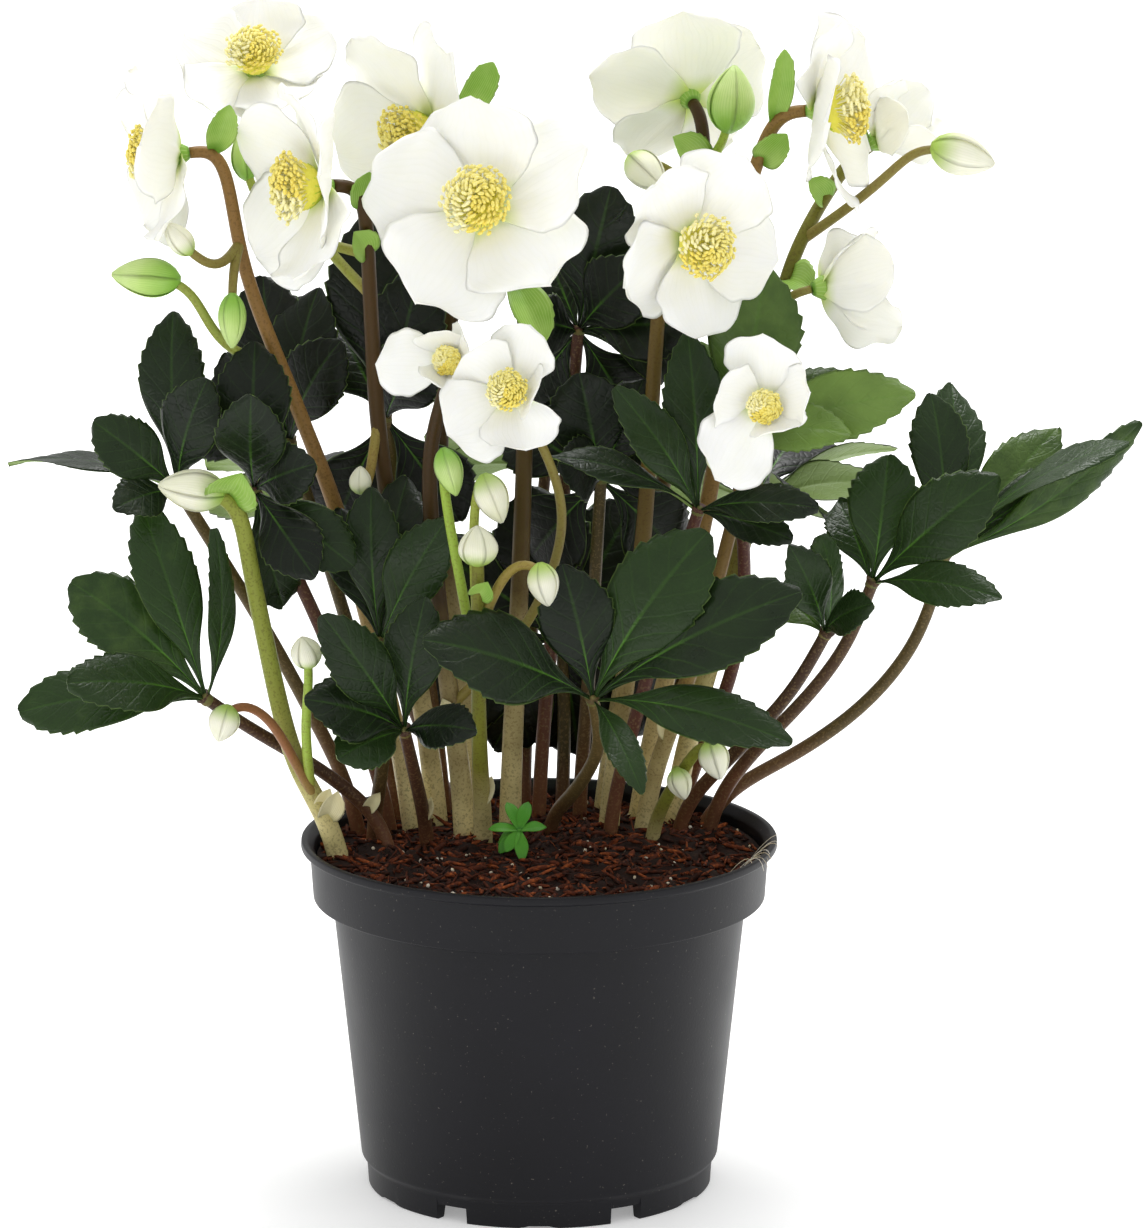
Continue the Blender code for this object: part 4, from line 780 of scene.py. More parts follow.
def gathered(skins: list) -> Skin:
    """Several skins as one.

    Args:
        skins: The skins.

    Returns:
        One skin that holds them all.
    """
    starts = np.cumsum([0] + [len(skin.points) for skin in skins[:-1]])
    moved = [replace(skin, faces=skin.faces + start) for skin, start in zip(skins, starts)]
    return Skin(*(np.concatenate([getattr(skin, part.name) for skin in moved]) for part in fields(Skin)))


def make_piece(name: str, skin: Skin, kinds: tuple, node: str = "") -> bpy.types.Object:
    """A named piece that rides on the part, made from a skin.

    Args:
        name: The piece's name.
        skin: Its surface, in millimetres.
        kinds: Its finishes, by finish number.
        node: The solid that it stands for.

    Returns:
        The new object.
    """
    mesh = bpy.data.meshes.new(name)
    mesh.from_pydata(skin.points * MM, [], skin.faces)
    mesh.shade_smooth()
    layer = mesh.uv_layers.new(name="skin")
    corners = np.empty(len(mesh.loops), dtype=np.int32)
    mesh.loops.foreach_get("vertex_index", corners)
    layer.data.foreach_set("uv", skin.uv[corners].astype(np.float32).ravel())
    for label, values in (("under", skin.under), ("tint", skin.tint)):
        store = mesh.attributes.new(name=label, type="FLOAT", domain="POINT")
        store.data.foreach_set("value", values.astype(np.float32))
    for kind in kinds:
        mesh.materials.append(material_of(kind))
    mesh.polygons.foreach_set("material_index", skin.finish.astype(np.int32))
    mesh.update()
    piece = bpy.data.objects.new(name, mesh)
    bpy.context.scene.collection.objects.link(piece)
    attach(piece, "root")
    if node:
        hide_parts(node)
    LOG.info("%s: %d triangles", name, len(skin.faces))
    return piece


@dataclass(frozen=True)
class BladeForm:
    """How a thin blade is drawn: its outline, teeth, columns, thickness, rib, cup and waves."""

    knots: tuple
    tip_from: float = 1.0
    rows: int = 12
    teeth: int = 0
    teeth_from: float = 0.5
    tooth_depth: float = 0.0
    columns: tuple = (-1.0, -0.8, -0.5, -0.2, 0.0, 0.2, 0.5, 0.8, 1.0)
    thickness: float = 0.6
    rib: float = 0.0
    cup: float = 0.0
    wave: float = 0.0
    waves: float = 1.5
    pucker: float = 0.0
    crinkle: float = 0.0
    frill: float = 0.0
    twist: float = 0.0

    def shares(self) -> np.ndarray:
        """Rows along the blade: even to the teeth, then three to a tooth, or closer near a plain tip.

        Returns:
            Shares of the length, from 0 to 1.
        """
        if not self.teeth:
            even = np.linspace(0.0, 1.0, self.rows)
            return np.sin(0.5 * math.pi * even) * 0.35 + even * 0.65
        plain = np.linspace(0.0, self.teeth_from, self.rows)
        steps = np.arange(self.teeth)[:, None] + np.array((0.08, 0.5, 0.92))[None]
        toothed = self.teeth_from + (1.0 - self.teeth_from) * (steps / self.teeth).ravel()
        return np.concatenate((plain, toothed, (1.0,)))

    def half_widths(self, shares: np.ndarray, side: np.ndarray, phase: float) -> np.ndarray:
        """Half width at each share and column: the outline, its round tip, and teeth that lean forward.

        A tooth widens the margin steadily and then steps back. It fades towards the midrib.

        Args:
            shares: Rows along the blade.
            side: Columns across it, from -1 to 1.
            phase: A steady number that varies the outline a little.

        Returns:
            Shares of the blade's half width, rows by columns.
        """
        width = np.maximum(eased(self.knots, shares), 0.012)
        late = np.clip((shares - self.tip_from) / max(1.0 - self.tip_from, 1e-6), 0.0, 1.0)
        width = width * np.sqrt(1.0 - np.where(shares > self.tip_from, late, 0.0) ** 2 * 0.9999)
        width = width * (1.0 + 0.035 * np.sin(9.0 * shares + 6.28 * phase))
        lobes = np.sin(27.0 * shares[:, None] + 17.0 * phase + 2.0 * np.sign(side)[None])
        width = width[:, None] * (1.0 + self.frill * shares[:, None] * lobes)
        if self.teeth:
            place = (shares - self.teeth_from) / (1.0 - self.teeth_from) * self.teeth
            step = np.where(place > 0.0, (place % 1.0) - 0.5, 0.0)
            fade = np.clip(place * 0.6, 0.0, 1.0) * (1.15 - 0.5 * shares)
            width = width + (self.tooth_depth * step * fade)[:, None] * np.abs(side)[None] ** 5
        return width


def blade_skin(form: BladeForm, blade: Blade, phase: float, finish: int) -> Skin:
    """A fine blade on the same line as its solid.

    The middle line is an arc from the root. Each cross-section is a thin lens set square to it, tipped
    by the slope and the twist, folded and cupped upward, waved at its margins, puckered between its
    side veins and creased along its midrib. A ripple pushes parts of the tip forward.

    Args:
        form: How the blade is drawn.
        blade: Where it is and how large.
        phase: A steady number from 0 to 1 that varies waves and tint.
        finish: Number of its finish.

    Returns:
        The closed blade.
    """
    along, across, out = blade.axes
    length, width = blade.length, blade.width
    first, last = map(math.radians, blade.bend)
    shares = form.shares()
    angle = first + (last - first) * shares
    forward = length * (np.sin(angle) - math.sin(first)) / (last - first)
    lift = length * (math.cos(first) - np.cos(angle)) / (last - first)
    line = blade.root + forward[:, None] * along + lift[:, None] * out
    normal = -np.sin(angle)[:, None] * along + np.cos(angle)[:, None] * out
    columns = np.array(form.columns)
    side = np.concatenate((columns, columns[-2:0:-1]))
    over = np.concatenate((np.ones(len(columns)), -np.ones(len(columns) - 2)))
    over[[0, len(columns) - 1]] = 0.0
    half = form.half_widths(shares, side, phase) * width * 0.5
    small = min(1.0, length / FULL_SEPAL) ** 2
    reach = half * side[None]
    rows = shares[:, None]
    turn = blade.slope + form.twist * math.sin(9.0 * phase) * rows ** 2
    rise = turn * reach + blade.fold * np.abs(reach) + form.cup * half * side[None] ** 2
    swing = np.sin(2.0 * math.pi * (form.waves * rows + phase) + 1.3 * np.sign(side)[None])
    rise = rise + small * form.wave * swing * np.abs(side)[None] ** 2.5 * np.sqrt(rows)
    rays = np.sin(13.0 * side[None] + 5.0 * phase + 2.0 * rows) * np.sin(math.pi * rows)
    rise = rise + small * form.crinkle * rays * (1.0 - 0.5 * np.abs(side)[None])
    vein = np.cos(2.0 * math.pi * (rows * 7.0 - np.abs(side)[None] * 1.6))
    rise = rise + form.pucker * vein * np.sin(math.pi * np.abs(side))[None] * (1.0 - 0.6 * rows)
    crease = np.exp(-(side / 0.09) ** 2)[None] * (1.0 - 0.75 * rows)
    thick = 0.5 * form.thickness * np.sqrt(1.0 - 0.94 * side[None] ** 2) * over[None]
    thick = thick - form.rib * crease * np.where(over > 0.0, 0.5, np.where(over < 0.0, 1.0, 0.0))[None]
    ripple = small * form.frill * length * rows ** 6 * np.sin(5.0 * math.pi * reach / width + 9.0 * phase)
    points = line[:, None] + reach[..., None] * across + (rise + thick)[..., None] * normal[:, None]
    points = points + ripple[..., None] * along
    under = np.broadcast_to(0.5 - 0.5 * over, reach.shape)
    return closed_skin(points, phase, finish, grid_uv(shares, side * 0.5 + 0.5), under)


def stem_skin(path: np.ndarray, radii: np.ndarray, sides: int, tint: float, finish: int,
              spacing: float = 2.5, swell: float = 0.0, passes: int = 24) -> Skin:
    """A round stem: circles square to one curve through the path's points, evened by 1-2-1 averages.

    Args:
        path: Points of the settled stem.
        radii: Its radius at each point.
        sides: Points round it.
        tint: One value for the whole stem.
        finish: Number of its finish.
        spacing: Millimetres between circles.
        swell: Share by which its foot is stouter.
        passes: How often the line is averaged between its fixed ends.

    Returns:
        The closed stem.
    """
    run = np.concatenate(((0.0,), np.cumsum(np.linalg.norm(np.diff(path, axis=0), axis=1))))
    count = max(int(run[-1] / spacing), 5)
    line = smooth_path(path, count)
    for _ in range(passes):
        line[1:-1] = 0.25 * line[:-2] + 0.5 * line[1:-1] + 0.25 * line[2:]
    shares = np.linspace(0.0, 1.0, count)
    wide = np.interp(shares, run / run[-1], radii) * (1.0 + swell * (1.0 - shares) ** 2)
    frames = frames_round(unit_rows(np.gradient(line, axis=0)))
    turn = even_turns(sides)
    points = line[:, None] + circle(turn, frames[:, :1], frames[:, 1:2]) * wide[:, None, None]
    return closed_skin(points, tint, finish, grid_uv(shares, turn / (2.0 * math.pi)))


def knob_skin(centre: np.ndarray, way: np.ndarray, length: float, width: float, tint: float,
              finish: int) -> Skin:
    """A small egg: circles along an axis whose radius follows half a sine, fuller near its start.

    Args:
        centre: Its middle.
        way: Its axis.
        length: Its length.
        width: Its width.
        tint: One value for the whole knob.
        finish: Number of its finish.

    Returns:
        The closed knob.
    """
    axis = unit(way)
    first, second = cross_axes(axis)
    shares = np.linspace(0.02, 0.98, 9)
    turn = even_turns(12)
    radius = 0.5 * width * np.sin(math.pi * shares ** 0.85) ** 0.8
    line = np.asarray(centre, dtype=float) + (shares[:, None] - 0.5) * length * axis
    points = line[:, None] + radius[:, None, None] * circle(turn, first, second)[None]
    return closed_skin(points, tint, finish, grid_uv(shares, turn / (2.0 * math.pi)))


def thin_rods(starts: np.ndarray, bends: np.ndarray, ends: np.ndarray, low: float, high: float,
              finish: int, steps: int = 4) -> Skin:
    """Many three-sided rods at once, each on a curve pulled towards its bend point.

    A rod's line is (1-t)^2 start + 2t(1-t) bend + t^2 end.

    Args:
        starts: First points, one row a rod.
        bends: Points that pull each line.
        ends: Last points.
        low: Radius at the start.
        high: Radius at the end.
        finish: Number of their finish.
        steps: Rings along each rod.

    Returns:
        All the rods as one skin.
    """
    share = np.linspace(0.0, 1.0, steps)[None, :, None]
    rest = 1 - share
    line = rest ** 2 * starts[:, None] + 2 * share * rest * bends[:, None] + share ** 2 * ends[:, None]
    frames = frames_round(unit_rows(np.gradient(line, axis=1)))
    ring = circle(even_turns(3), frames[..., :1, :], frames[..., 1:2, :])
    rings = line[:, :, None] + ring * (low + (high - low) * share[..., None])
    rods = len(starts)
    middles = line[:, (0, -1)]
    points = np.concatenate((rings.reshape(rods, -1, 3), middles), axis=1)
    faces = ring_faces(steps, 3)[None] + (np.arange(rods) * (steps * 3 + 2))[:, None, None]
    uv = np.zeros((rods, steps * 3 + 2, 2))
    uv[:, :steps * 3, 0] = np.repeat(np.linspace(0.0, 1.0, steps), 3)[None]
    uv[:, -1, 0] = 1.0
    tint = np.repeat((np.arange(rods) * GOLDEN_SHARE) % 1.0, steps * 3 + 2)
    flat = points.reshape(-1, 3)
    faces = outward(flat - flat.mean(axis=0), faces.reshape(-1, 3))
    return Skin(flat, faces, uv.reshape(-1, 2), np.zeros(len(flat)), tint, np.full(len(faces), finish))


def small_grains(centres: np.ndarray, axes: np.ndarray, sizes: np.ndarray, finish: int,
                 sides: int = 5) -> Skin:
    """Many small rounded grains at once: three rings and two poles each, stretched to their sizes.

    Args:
        centres: Their middles, one row a grain.
        axes: Three unit directions a grain, shape grains by three by three.
        sizes: Half sizes along those directions.
        finish: Number of their finish.
        sides: Points round each ring.

    Returns:
        All the grains as one skin.
    """
    heights = np.array((-0.62, 0.0, 0.62))
    unit_points = spun_rings(np.stack((np.sqrt(1.0 - heights ** 2), heights), axis=1), even_turns(sides))
    unit_points = np.concatenate((unit_points.reshape(-1, 3), (-UP, UP)))
    local = unit_points[None] * sizes[:, None]
    points = centres[:, None] + np.einsum("npk,nkc->npc", local, axes)
    each = len(unit_points)
    faces = ring_faces(3, sides)[None] + (np.arange(len(centres)) * each)[:, None, None]
    flat = points.reshape(-1, 3)
    a, b, c = (flat[faces[..., corner]] - centres[:, None] for corner in range(3))
    volume = np.einsum("nfi,nfi->n", a, np.cross(b, c))
    faces = np.where((volume >= 0.0)[:, None, None], faces, faces[..., ::-1]).reshape(-1, 3)
    tint = np.repeat((np.arange(len(centres)) * GOLDEN_SHARE) % 1.0, each)
    finishes = np.full(len(faces), finish)
    return Skin(flat, faces, np.zeros((len(flat), 2)), np.zeros(len(flat)), tint, finishes)


def spun_rings(profile: np.ndarray, turns: np.ndarray) -> np.ndarray:
    """Points of a turned surface: each profile point at each turn about the Z axis.

    Args:
        profile: Radius and height, rows by two, or rows by turns by two where they vary round the axis.
        turns: Angles in radians.

    Returns:
        Points as rows by turns by three.
    """
    if profile.ndim == 2:
        profile = np.repeat(profile[:, None], len(turns), axis=1)
    radius, height = profile[..., 0], profile[..., 1]
    return np.stack((radius * np.cos(turns), radius * np.sin(turns), height), axis=-1)


def lattice_noise(x: np.ndarray, y: np.ndarray, cell: float, seed: int) -> np.ndarray:
    """Smooth noise from -1 to 1: random values on a square lattice, eased between its corners.

    Args:
        x: Places in millimetres.
        y: Places in millimetres.
        cell: Lattice spacing in millimetres.
        seed: Which lattice.

    Returns:
        Noise at the places.
    """
    table = np.random.default_rng(seed).uniform(-1.0, 1.0, (256, 256))
    across, along = x / cell + 100.0, y / cell + 100.0
    low_x, low_y = np.floor(across).astype(int), np.floor(along).astype(int)
    part_x, part_y = across - low_x, along - low_y
    part_x, part_y = part_x ** 2 * (3 - 2 * part_x), part_y ** 2 * (3 - 2 * part_y)
    corner = [table[(low_x + dx) % 256, (low_y + dy) % 256] for dx in (0, 1) for dy in (0, 1)]
    near = corner[0] * (1 - part_y) + corner[1] * part_y
    far = corner[2] * (1 - part_y) + corner[3] * part_y
    return near * (1 - part_x) + far * part_x


# Finishes

def srgb(text: str) -> tuple:
    """Linear red, green, blue and alpha of an sRGB hex colour.

    Args:
        text: Six hex digits after a hash sign.

    Returns:
        Four linear values.
    """
    parts = np.array([int(text[place:place + 2], 16) / 255.0 for place in (1, 3, 5)])
    linear = np.where(parts <= 0.04045, parts / 12.92, ((parts + 0.055) / 1.055) ** 2.4)
    return (*linear.tolist(), 1.0)


def feed(node: bpy.types.Node, inputs: dict) -> None:
    """Set a node's inputs, or link them to other nodes.

    Args:
        node: The node.
        inputs: Inputs by name or number: a value to set or an output to link.
    """
    for label, value in inputs.items():
        if isinstance(value, bpy.types.NodeSocket):
            node.id_data.links.new(value, node.inputs[label])
        else:
            node.inputs[label].default_value = value


def add_node(tree: bpy.types.NodeTree, kind: str, inputs: dict | None = None, out: int | str = 0,
             **settings: str) -> bpy.types.NodeSocket:
    """Add a node, give it its settings, and set or link its inputs.

    Args:
        tree: The material's nodes.
        kind: Blender's name of the node, without ShaderNode.
        inputs: What feeds its inputs, by name or number.
        out: Which of its outputs is wanted.
        settings: Properties of the node.

    Returns:
        That output.
    """
    node = tree.nodes.new("ShaderNode" + kind)
    for label, value in settings.items():
        setattr(node, label, value)
    feed(node, inputs or {})
    return node.outputs[out]


def new_material(name: str, values: dict) -> tuple:
    """A material with a plain Principled shader whose uniform values are set on its own sockets.

    Args:
        name: What the real material is.
        values: Socket values by name.

    Returns:
        The material, its node tree and its shader.
    """
    material = bpy.data.materials.new(name)
    material.use_nodes = True
    shader = material.node_tree.nodes["Principled BSDF"]
    feed(shader, values)
    return material, material.node_tree, shader


def spread_tones(ramp: bpy.types.Node, tones: tuple) -> None:
    """Spread colours evenly over a colour ramp.

    Args:
        ramp: The ramp's node.
        tones: Two or more sRGB hex colours.
    """
    stops = ramp.color_ramp.elements
    stops[0].color, stops[1].color = srgb(tones[0]), srgb(tones[-1])
    for count, tone in enumerate(tones[1:-1], start=1):
        stops.new(count / (len(tones) - 1)).color = srgb(tone)


@dataclass(frozen=True)
class LeafFinish:
    """Leathery leaflet with a waxy cuticle: dark and glossy above, matt sage below, pale at its ribs."""

    name: str = "waxy_hellebore_leaf"
    tones: tuple = ("#060905", "#111b0d", "#273d18", "#7a9848")
    rib: str = "#5a8f2c"
    rim: str = "#6f8a48"
    underside: str = "#7c9450"
    roughness: float = 0.33

    def make(self) -> bpy.types.Material:
        """The leaf: noise for its cloudy green, UV for its midrib and slanting side veins.

        Returns:
            The material.
        """
        material, tree, shader = new_material(self.name, {"IOR": 1.45, "Specular IOR Level": 0.27})
        place = add_node(tree, "UVMap", uv_map="skin")
        u = add_node(tree, "SeparateXYZ", {"Vector": place})
        v = u.node.outputs["Y"]
        centred = add_node(tree, "Math", {0: v, 1: 0.5}, operation="SUBTRACT")
        away = add_node(tree, "Math", {0: centred}, operation="ABSOLUTE")
        spot = add_node(tree, "TexCoord", out="Object")
        cloud = add_node(tree, "TexNoise", {"Vector": spot, "Scale": 90.0, "Detail": 4.0})
        # The tint carries each leaf's tone, which is partly its own green and partly painted sheen and
        # painted shade
        tint = add_node(tree, "Attribute", out="Fac", attribute_name="tint")
        calm = add_node(tree, "Math", {0: cloud, 1: 0.2, 2: 0.37}, operation="MULTIPLY_ADD")
        shade = add_node(tree, "Math", {0: tint, 1: 0.75, 2: calm}, operation="MULTIPLY_ADD")
        body = add_node(tree, "MapRange", {"Value": shade, "From Min": 0.4, "From Max": 1.3})
        green = add_node(tree, "ValToRGB", {"Fac": body})
        spread_tones(green.node, self.tones)
        # A midrib about a millimetre wide, brightest near the leaf's hub
        near = add_node(tree, "MapRange",
                        {"Value": away, "From Min": 0.006, "From Max": 0.034, "To Min": 1.0, "To Max": 0.0},
                        interpolation_type="SMOOTHSTEP")
        early = add_node(tree, "MapRange",
                         {"Value": u, "From Min": 0.05, "From Max": 0.62, "To Min": 1.0, "To Max": 0.1},
                         interpolation_type="SMOOTHSTEP")
        rib = add_node(tree, "Math", {0: near, 1: early}, operation="MULTIPLY")
        # Side veins leave the midrib forward about every seventh of the blade
        slant = add_node(tree, "Math", {0: away, 1: -0.46, 2: u}, operation="MULTIPLY_ADD")
        wander = add_node(tree, "Math", {0: cloud, 1: 0.05, 2: slant}, operation="MULTIPLY_ADD")
        vein = add_node(tree, "Math", {0: wander, 1: 0.0625}, operation="PINGPONG")
        line = add_node(tree, "MapRange",
                        {"Value": vein, "From Min": 0.0, "From Max": 0.012, "To Min": 1.0, "To Max": 0.0},
                        interpolation_type="SMOOTHSTEP")
        faint = add_node(tree, "Math", {0: line, 1: early}, operation="MULTIPLY")
        both = add_node(tree, "Math", {0: faint, 1: 0.3, 2: rib}, operation="MULTIPLY_ADD")
        clipped = add_node(tree, "Math", {0: both, 1: 0.85}, operation="MINIMUM")
        veined = add_node(tree, "Mix", {"Factor": clipped, 6: green, 7: srgb(self.rib)}, out=2,
                          data_type="RGBA")
        # A pale horny rim about half a millimetre wide
        edge = add_node(tree, "MapRange",
                        {"Value": away, "From Min": 0.475, "From Max": 0.5, "To Max": 0.6},
                        interpolation_type="SMOOTHSTEP")
        rimmed = add_node(tree, "Mix", {"Factor": edge, 6: veined, 7: srgb(self.rim)}, out=2,
                          data_type="RGBA")
        under = add_node(tree, "Attribute", out="Fac", attribute_name="under")
        below = add_node(tree, "MapRange", {"Value": under, "From Min": 0.6, "From Max": 0.9})
        whole = add_node(tree, "Mix", {"Factor": below, 6: rimmed, 7: srgb(self.underside)}, out=2,
                         data_type="RGBA")
        feed(shader, {"Base Color": whole})
        gloss = add_node(tree, "MapRange", {"Value": cloud, "From Min": 0.3, "From Max": 0.7,
                                            "To Min": self.roughness - 0.07,
                                            "To Max": self.roughness + 0.1})
        matt = add_node(tree, "Math", {0: below, 1: 0.22, 2: gloss}, operation="MULTIPLY_ADD")
        feed(shader, {"Roughness": matt})
        # Leathery net of about two millimetres between the veins
        net = add_node(tree, "TexVoronoi", {"Vector": spot, "Scale": 380.0}, feature="DISTANCE_TO_EDGE")
        net_line = add_node(tree, "MapRange", {"Value": net, "From Min": 0.0, "From Max": 0.2})
        height = add_node(tree, "Math", {0: line, 1: -1.6, 2: net_line}, operation="MULTIPLY_ADD")
        quilt = add_node(tree, "Math", {0: cloud, 1: 1.6, 2: height}, operation="MULTIPLY_ADD")
        bump = add_node(tree, "Bump", {"Strength": 0.22, "Distance": 0.0004, "Height": quilt})
        feed(shader, {"Normal": bump})
        return material


@dataclass(frozen=True)
class StemFinish:
    """Smooth fleshy stem, pale where it leaves the soil, toned above, with fine red-brown speckles."""

    name: str
    low: str
    middle: str
    tones: tuple
    speckle: str
    speckled: float
    low_to: float = 0.2
    roughness: float = 0.42

    def make(self) -> bpy.types.Material:
        """The stem: a colour ramp along its UV, and speckles half a millimetre wide from noise.

        Returns:
            The material.
        """
        material, tree, shader = new_material(self.name, {"IOR": 1.42, "Specular IOR Level": 0.3})
        place = add_node(tree, "UVMap", uv_map="skin")
        u = add_node(tree, "SeparateXYZ", {"Vector": place})
        spot = add_node(tree, "TexCoord", out="Object")
        cloud = add_node(tree, "TexNoise", {"Vector": spot, "Scale": 60.0, "Detail": 3.0})
        moved = add_node(tree, "Math", {0: cloud, 1: 0.3, 2: u}, operation="MULTIPLY_ADD")
        ramp = add_node(tree, "ValToRGB", {"Fac": moved})
        spread_tones(ramp.node, (self.low, self.middle))
        for stop, place in zip(ramp.node.color_ramp.elements, (self.low_to, self.low_to + 0.4)):
            stop.position = place
        fine = add_node(tree, "TexNoise", {"Vector": spot, "Scale": 1100.0, "Detail": 2.0})
        dots = add_node(tree, "MapRange",
                        {"Value": fine, "From Min": 0.52, "From Max": 0.64, "To Max": self.speckled},
                        interpolation_type="SMOOTHSTEP")
        tint = add_node(tree, "Attribute", out="Fac", attribute_name="tint")
        tone = add_node(tree, "ValToRGB", {"Fac": tint})
        spread_tones(tone.node, self.tones)
        upper = add_node(tree, "MapRange",
                         {"Value": moved, "From Min": self.low_to, "From Max": self.low_to + 0.45})
        stem = add_node(tree, "Mix", {"Factor": upper, 6: ramp, 7: tone}, out=2, data_type="RGBA")
        colour = add_node(tree, "Mix", {"Factor": dots, 6: stem, 7: srgb(self.speckle)}, out=2,
                          data_type="RGBA")
        feed(shader, {"Base Color": colour})
        rough = add_node(tree, "MapRange",
                         {"Value": cloud, "To Min": self.roughness - 0.06, "To Max": self.roughness + 0.12})
        feed(shader, {"Roughness": rough})
        streak = add_node(tree, "Mapping", {"Vector": spot, "Scale": (700.0, 700.0, 60.0)})
        fibre = add_node(tree, "TexNoise", {"Vector": streak, "Scale": 1.0, "Detail": 2.0})
        bump = add_node(tree, "Bump", {"Strength": 0.25, "Distance": 0.0003, "Height": fibre})
        feed(shader, {"Normal": bump})
        return material


@dataclass(frozen=True)
class PetalFinish:
    """Soft waxy petal tissue: pale, a little see-through, tinted where it starts, with fine long veins."""

    name: str
    face: str
    start: str
    back: str
    mottle: str
    vein_tone: str
    veins: float
    start_to: float = 0.3
    roughness: float = 0.5
    soft: float = 0.25

    def make(self) -> bpy.types.Material:
        """The petal: UV tints its start, a wave across its UV draws veins, and the back is warmer.

        Returns:
            The material.
        """
        values = {"IOR": 1.4, "Roughness": self.roughness, "Specular IOR Level": 0.35,
                  "Subsurface Weight": self.soft, "Subsurface Scale": 0.002,
                  "Subsurface Radius": (1.0, 0.9, 0.6)}
        material, tree, shader = new_material(self.name, values)
        place = add_node(tree, "UVMap", uv_map="skin")
        u = add_node(tree, "SeparateXYZ", {"Vector": place})
        v = u.node.outputs["Y"]
        spot = add_node(tree, "TexCoord", out="Object")
        cloud = add_node(tree, "TexNoise", {"Vector": spot, "Scale": 70.0, "Detail": 3.0})
        moved = add_node(tree, "Math", {0: cloud, 1: 0.1, 2: u}, operation="MULTIPLY_ADD")
        early = add_node(tree, "MapRange", {"Value": moved, "From Min": 0.08,
                                            "From Max": self.start_to + 0.05, "To Min": 1.0, "To Max": 0.0},
                         interpolation_type="SMOOTHSTEP")
        under = add_node(tree, "Attribute", out="Fac", attribute_name="under")
        sides = add_node(tree, "Mix", {"Factor": under, 6: srgb(self.face), 7: srgb(self.back)}, out=2,
                         data_type="RGBA")
        patches = add_node(tree, "MapRange", {"Value": cloud, "From Min": 0.4, "From Max": 0.75})
        mottled = add_node(tree, "Mix", {"Factor": patches, 6: sides, 7: srgb(self.mottle)}, out=2,
                           data_type="RGBA")
        # Veins run from the base and fan out, so they are evenly spaced across the UV
        bands = add_node(tree, "Math", {0: cloud, 1: 0.12, 2: v}, operation="MULTIPLY_ADD")
        folded = add_node(tree, "Math", {0: bands, 1: 0.032}, operation="PINGPONG")
        line = add_node(tree, "MapRange", {"Value": folded, "From Min": 0.0, "From Max": 0.014,
                                           "To Min": self.veins, "To Max": 0.0},
                        interpolation_type="SMOOTHSTEP")
        veined = add_node(tree, "Mix", {"Factor": line, 6: mottled, 7: srgb(self.vein_tone)}, out=2,
                          data_type="RGBA")
        whole = add_node(tree, "Mix", {"Factor": early, 6: veined, 7: srgb(self.start)}, out=2,
                         data_type="RGBA")
        feed(shader, {"Base Color": whole})
        raised = add_node(tree, "Math", {0: line, 1: 3.0, 2: cloud}, operation="MULTIPLY_ADD")
        bump = add_node(tree, "Bump", {"Strength": 0.3, "Distance": 0.0004, "Height": raised})
        feed(shader, {"Normal": bump})
        return material


@dataclass(frozen=True)
class GrainFinish:
    """A matt grainy stuff of several tones: each piece has its own tone, clouded by noise."""

    name: str
    tones: tuple
    grain: float
    roughness: float
    bump: float = 0.4

    def make(self) -> bpy.types.Material:
        """The stuff: a ramp over each piece's tint and fine noise, with a bump of the same noise.

        Returns:
            The material.
        """
        values = {"Roughness": self.roughness, "Specular IOR Level": 0.3}
        material, tree, shader = new_material(self.name, values)
        spot = add_node(tree, "TexCoord", out="Object")
        tint = add_node(tree, "Attribute", out="Fac", attribute_name="tint")
        cloud = add_node(tree, "TexNoise", {"Vector": spot, "Scale": self.grain, "Detail": 6.0})
        mixed = add_node(tree, "Math", {0: tint, 1: 0.6, 2: cloud}, operation="MULTIPLY_ADD")
        scaled = add_node(tree, "MapRange", {"Value": mixed, "From Min": 0.35, "From Max": 1.25})
        ramp = add_node(tree, "ValToRGB", {"Fac": scaled})
        spread_tones(ramp.node, self.tones)
        feed(shader, {"Base Color": ramp})
        bump = add_node(tree, "Bump", {"Strength": self.bump, "Distance": 0.0006, "Height": cloud})
        feed(shader, {"Normal": bump})
        return material


@dataclass(frozen=True)
class PotFinish:
    """Injection-moulded black polypropylene: satin, finely grained, with a faint bluish bloom and dust."""

    name: str = "moulded_black_polypropylene"
    colour: str = "#0a0a0f"
    bloom: str = "#131319"
    roughness: float = 0.44

    def make(self) -> bpy.types.Material:
        """The plastic: slow noise for its bloom and smears, fine noise for its grain.

        Returns:
            The material.
        """
        material, tree, shader = new_material(self.name, {"IOR": 1.49, "Specular IOR Level": 0.25})
        spot = add_node(tree, "TexCoord", out="Object")
        slow = add_node(tree, "TexNoise", {"Vector": spot, "Scale": 22.0, "Detail": 5.0})
        cloud = add_node(tree, "MapRange", {"Value": slow, "From Min": 0.3, "From Max": 0.75})
        colour = add_node(tree, "Mix", {"Factor": cloud, 6: srgb(self.colour), 7: srgb(self.bloom)}, out=2,
                          data_type="RGBA")
        dust = add_node(tree, "TexNoise", {"Vector": spot, "Scale": 900.0, "Detail": 2.0})
        specks = add_node(tree, "MapRange",
                          {"Value": dust, "From Min": 0.7, "From Max": 0.78, "To Max": 0.35})
        dusty = add_node(tree, "Mix", {"Factor": specks, 6: colour, 7: srgb("#8a8379")}, out=2,
                         data_type="RGBA")
        feed(shader, {"Base Color": dusty})
        rough = add_node(tree, "MapRange",
                         {"Value": slow, "To Min": self.roughness - 0.12, "To Max": self.roughness + 0.14})
        feed(shader, {"Roughness": rough})
        bump = add_node(tree, "Bump", {"Strength": 0.18, "Distance": 0.0002, "Height": dust})
        feed(shader, {"Normal": bump})
        return material


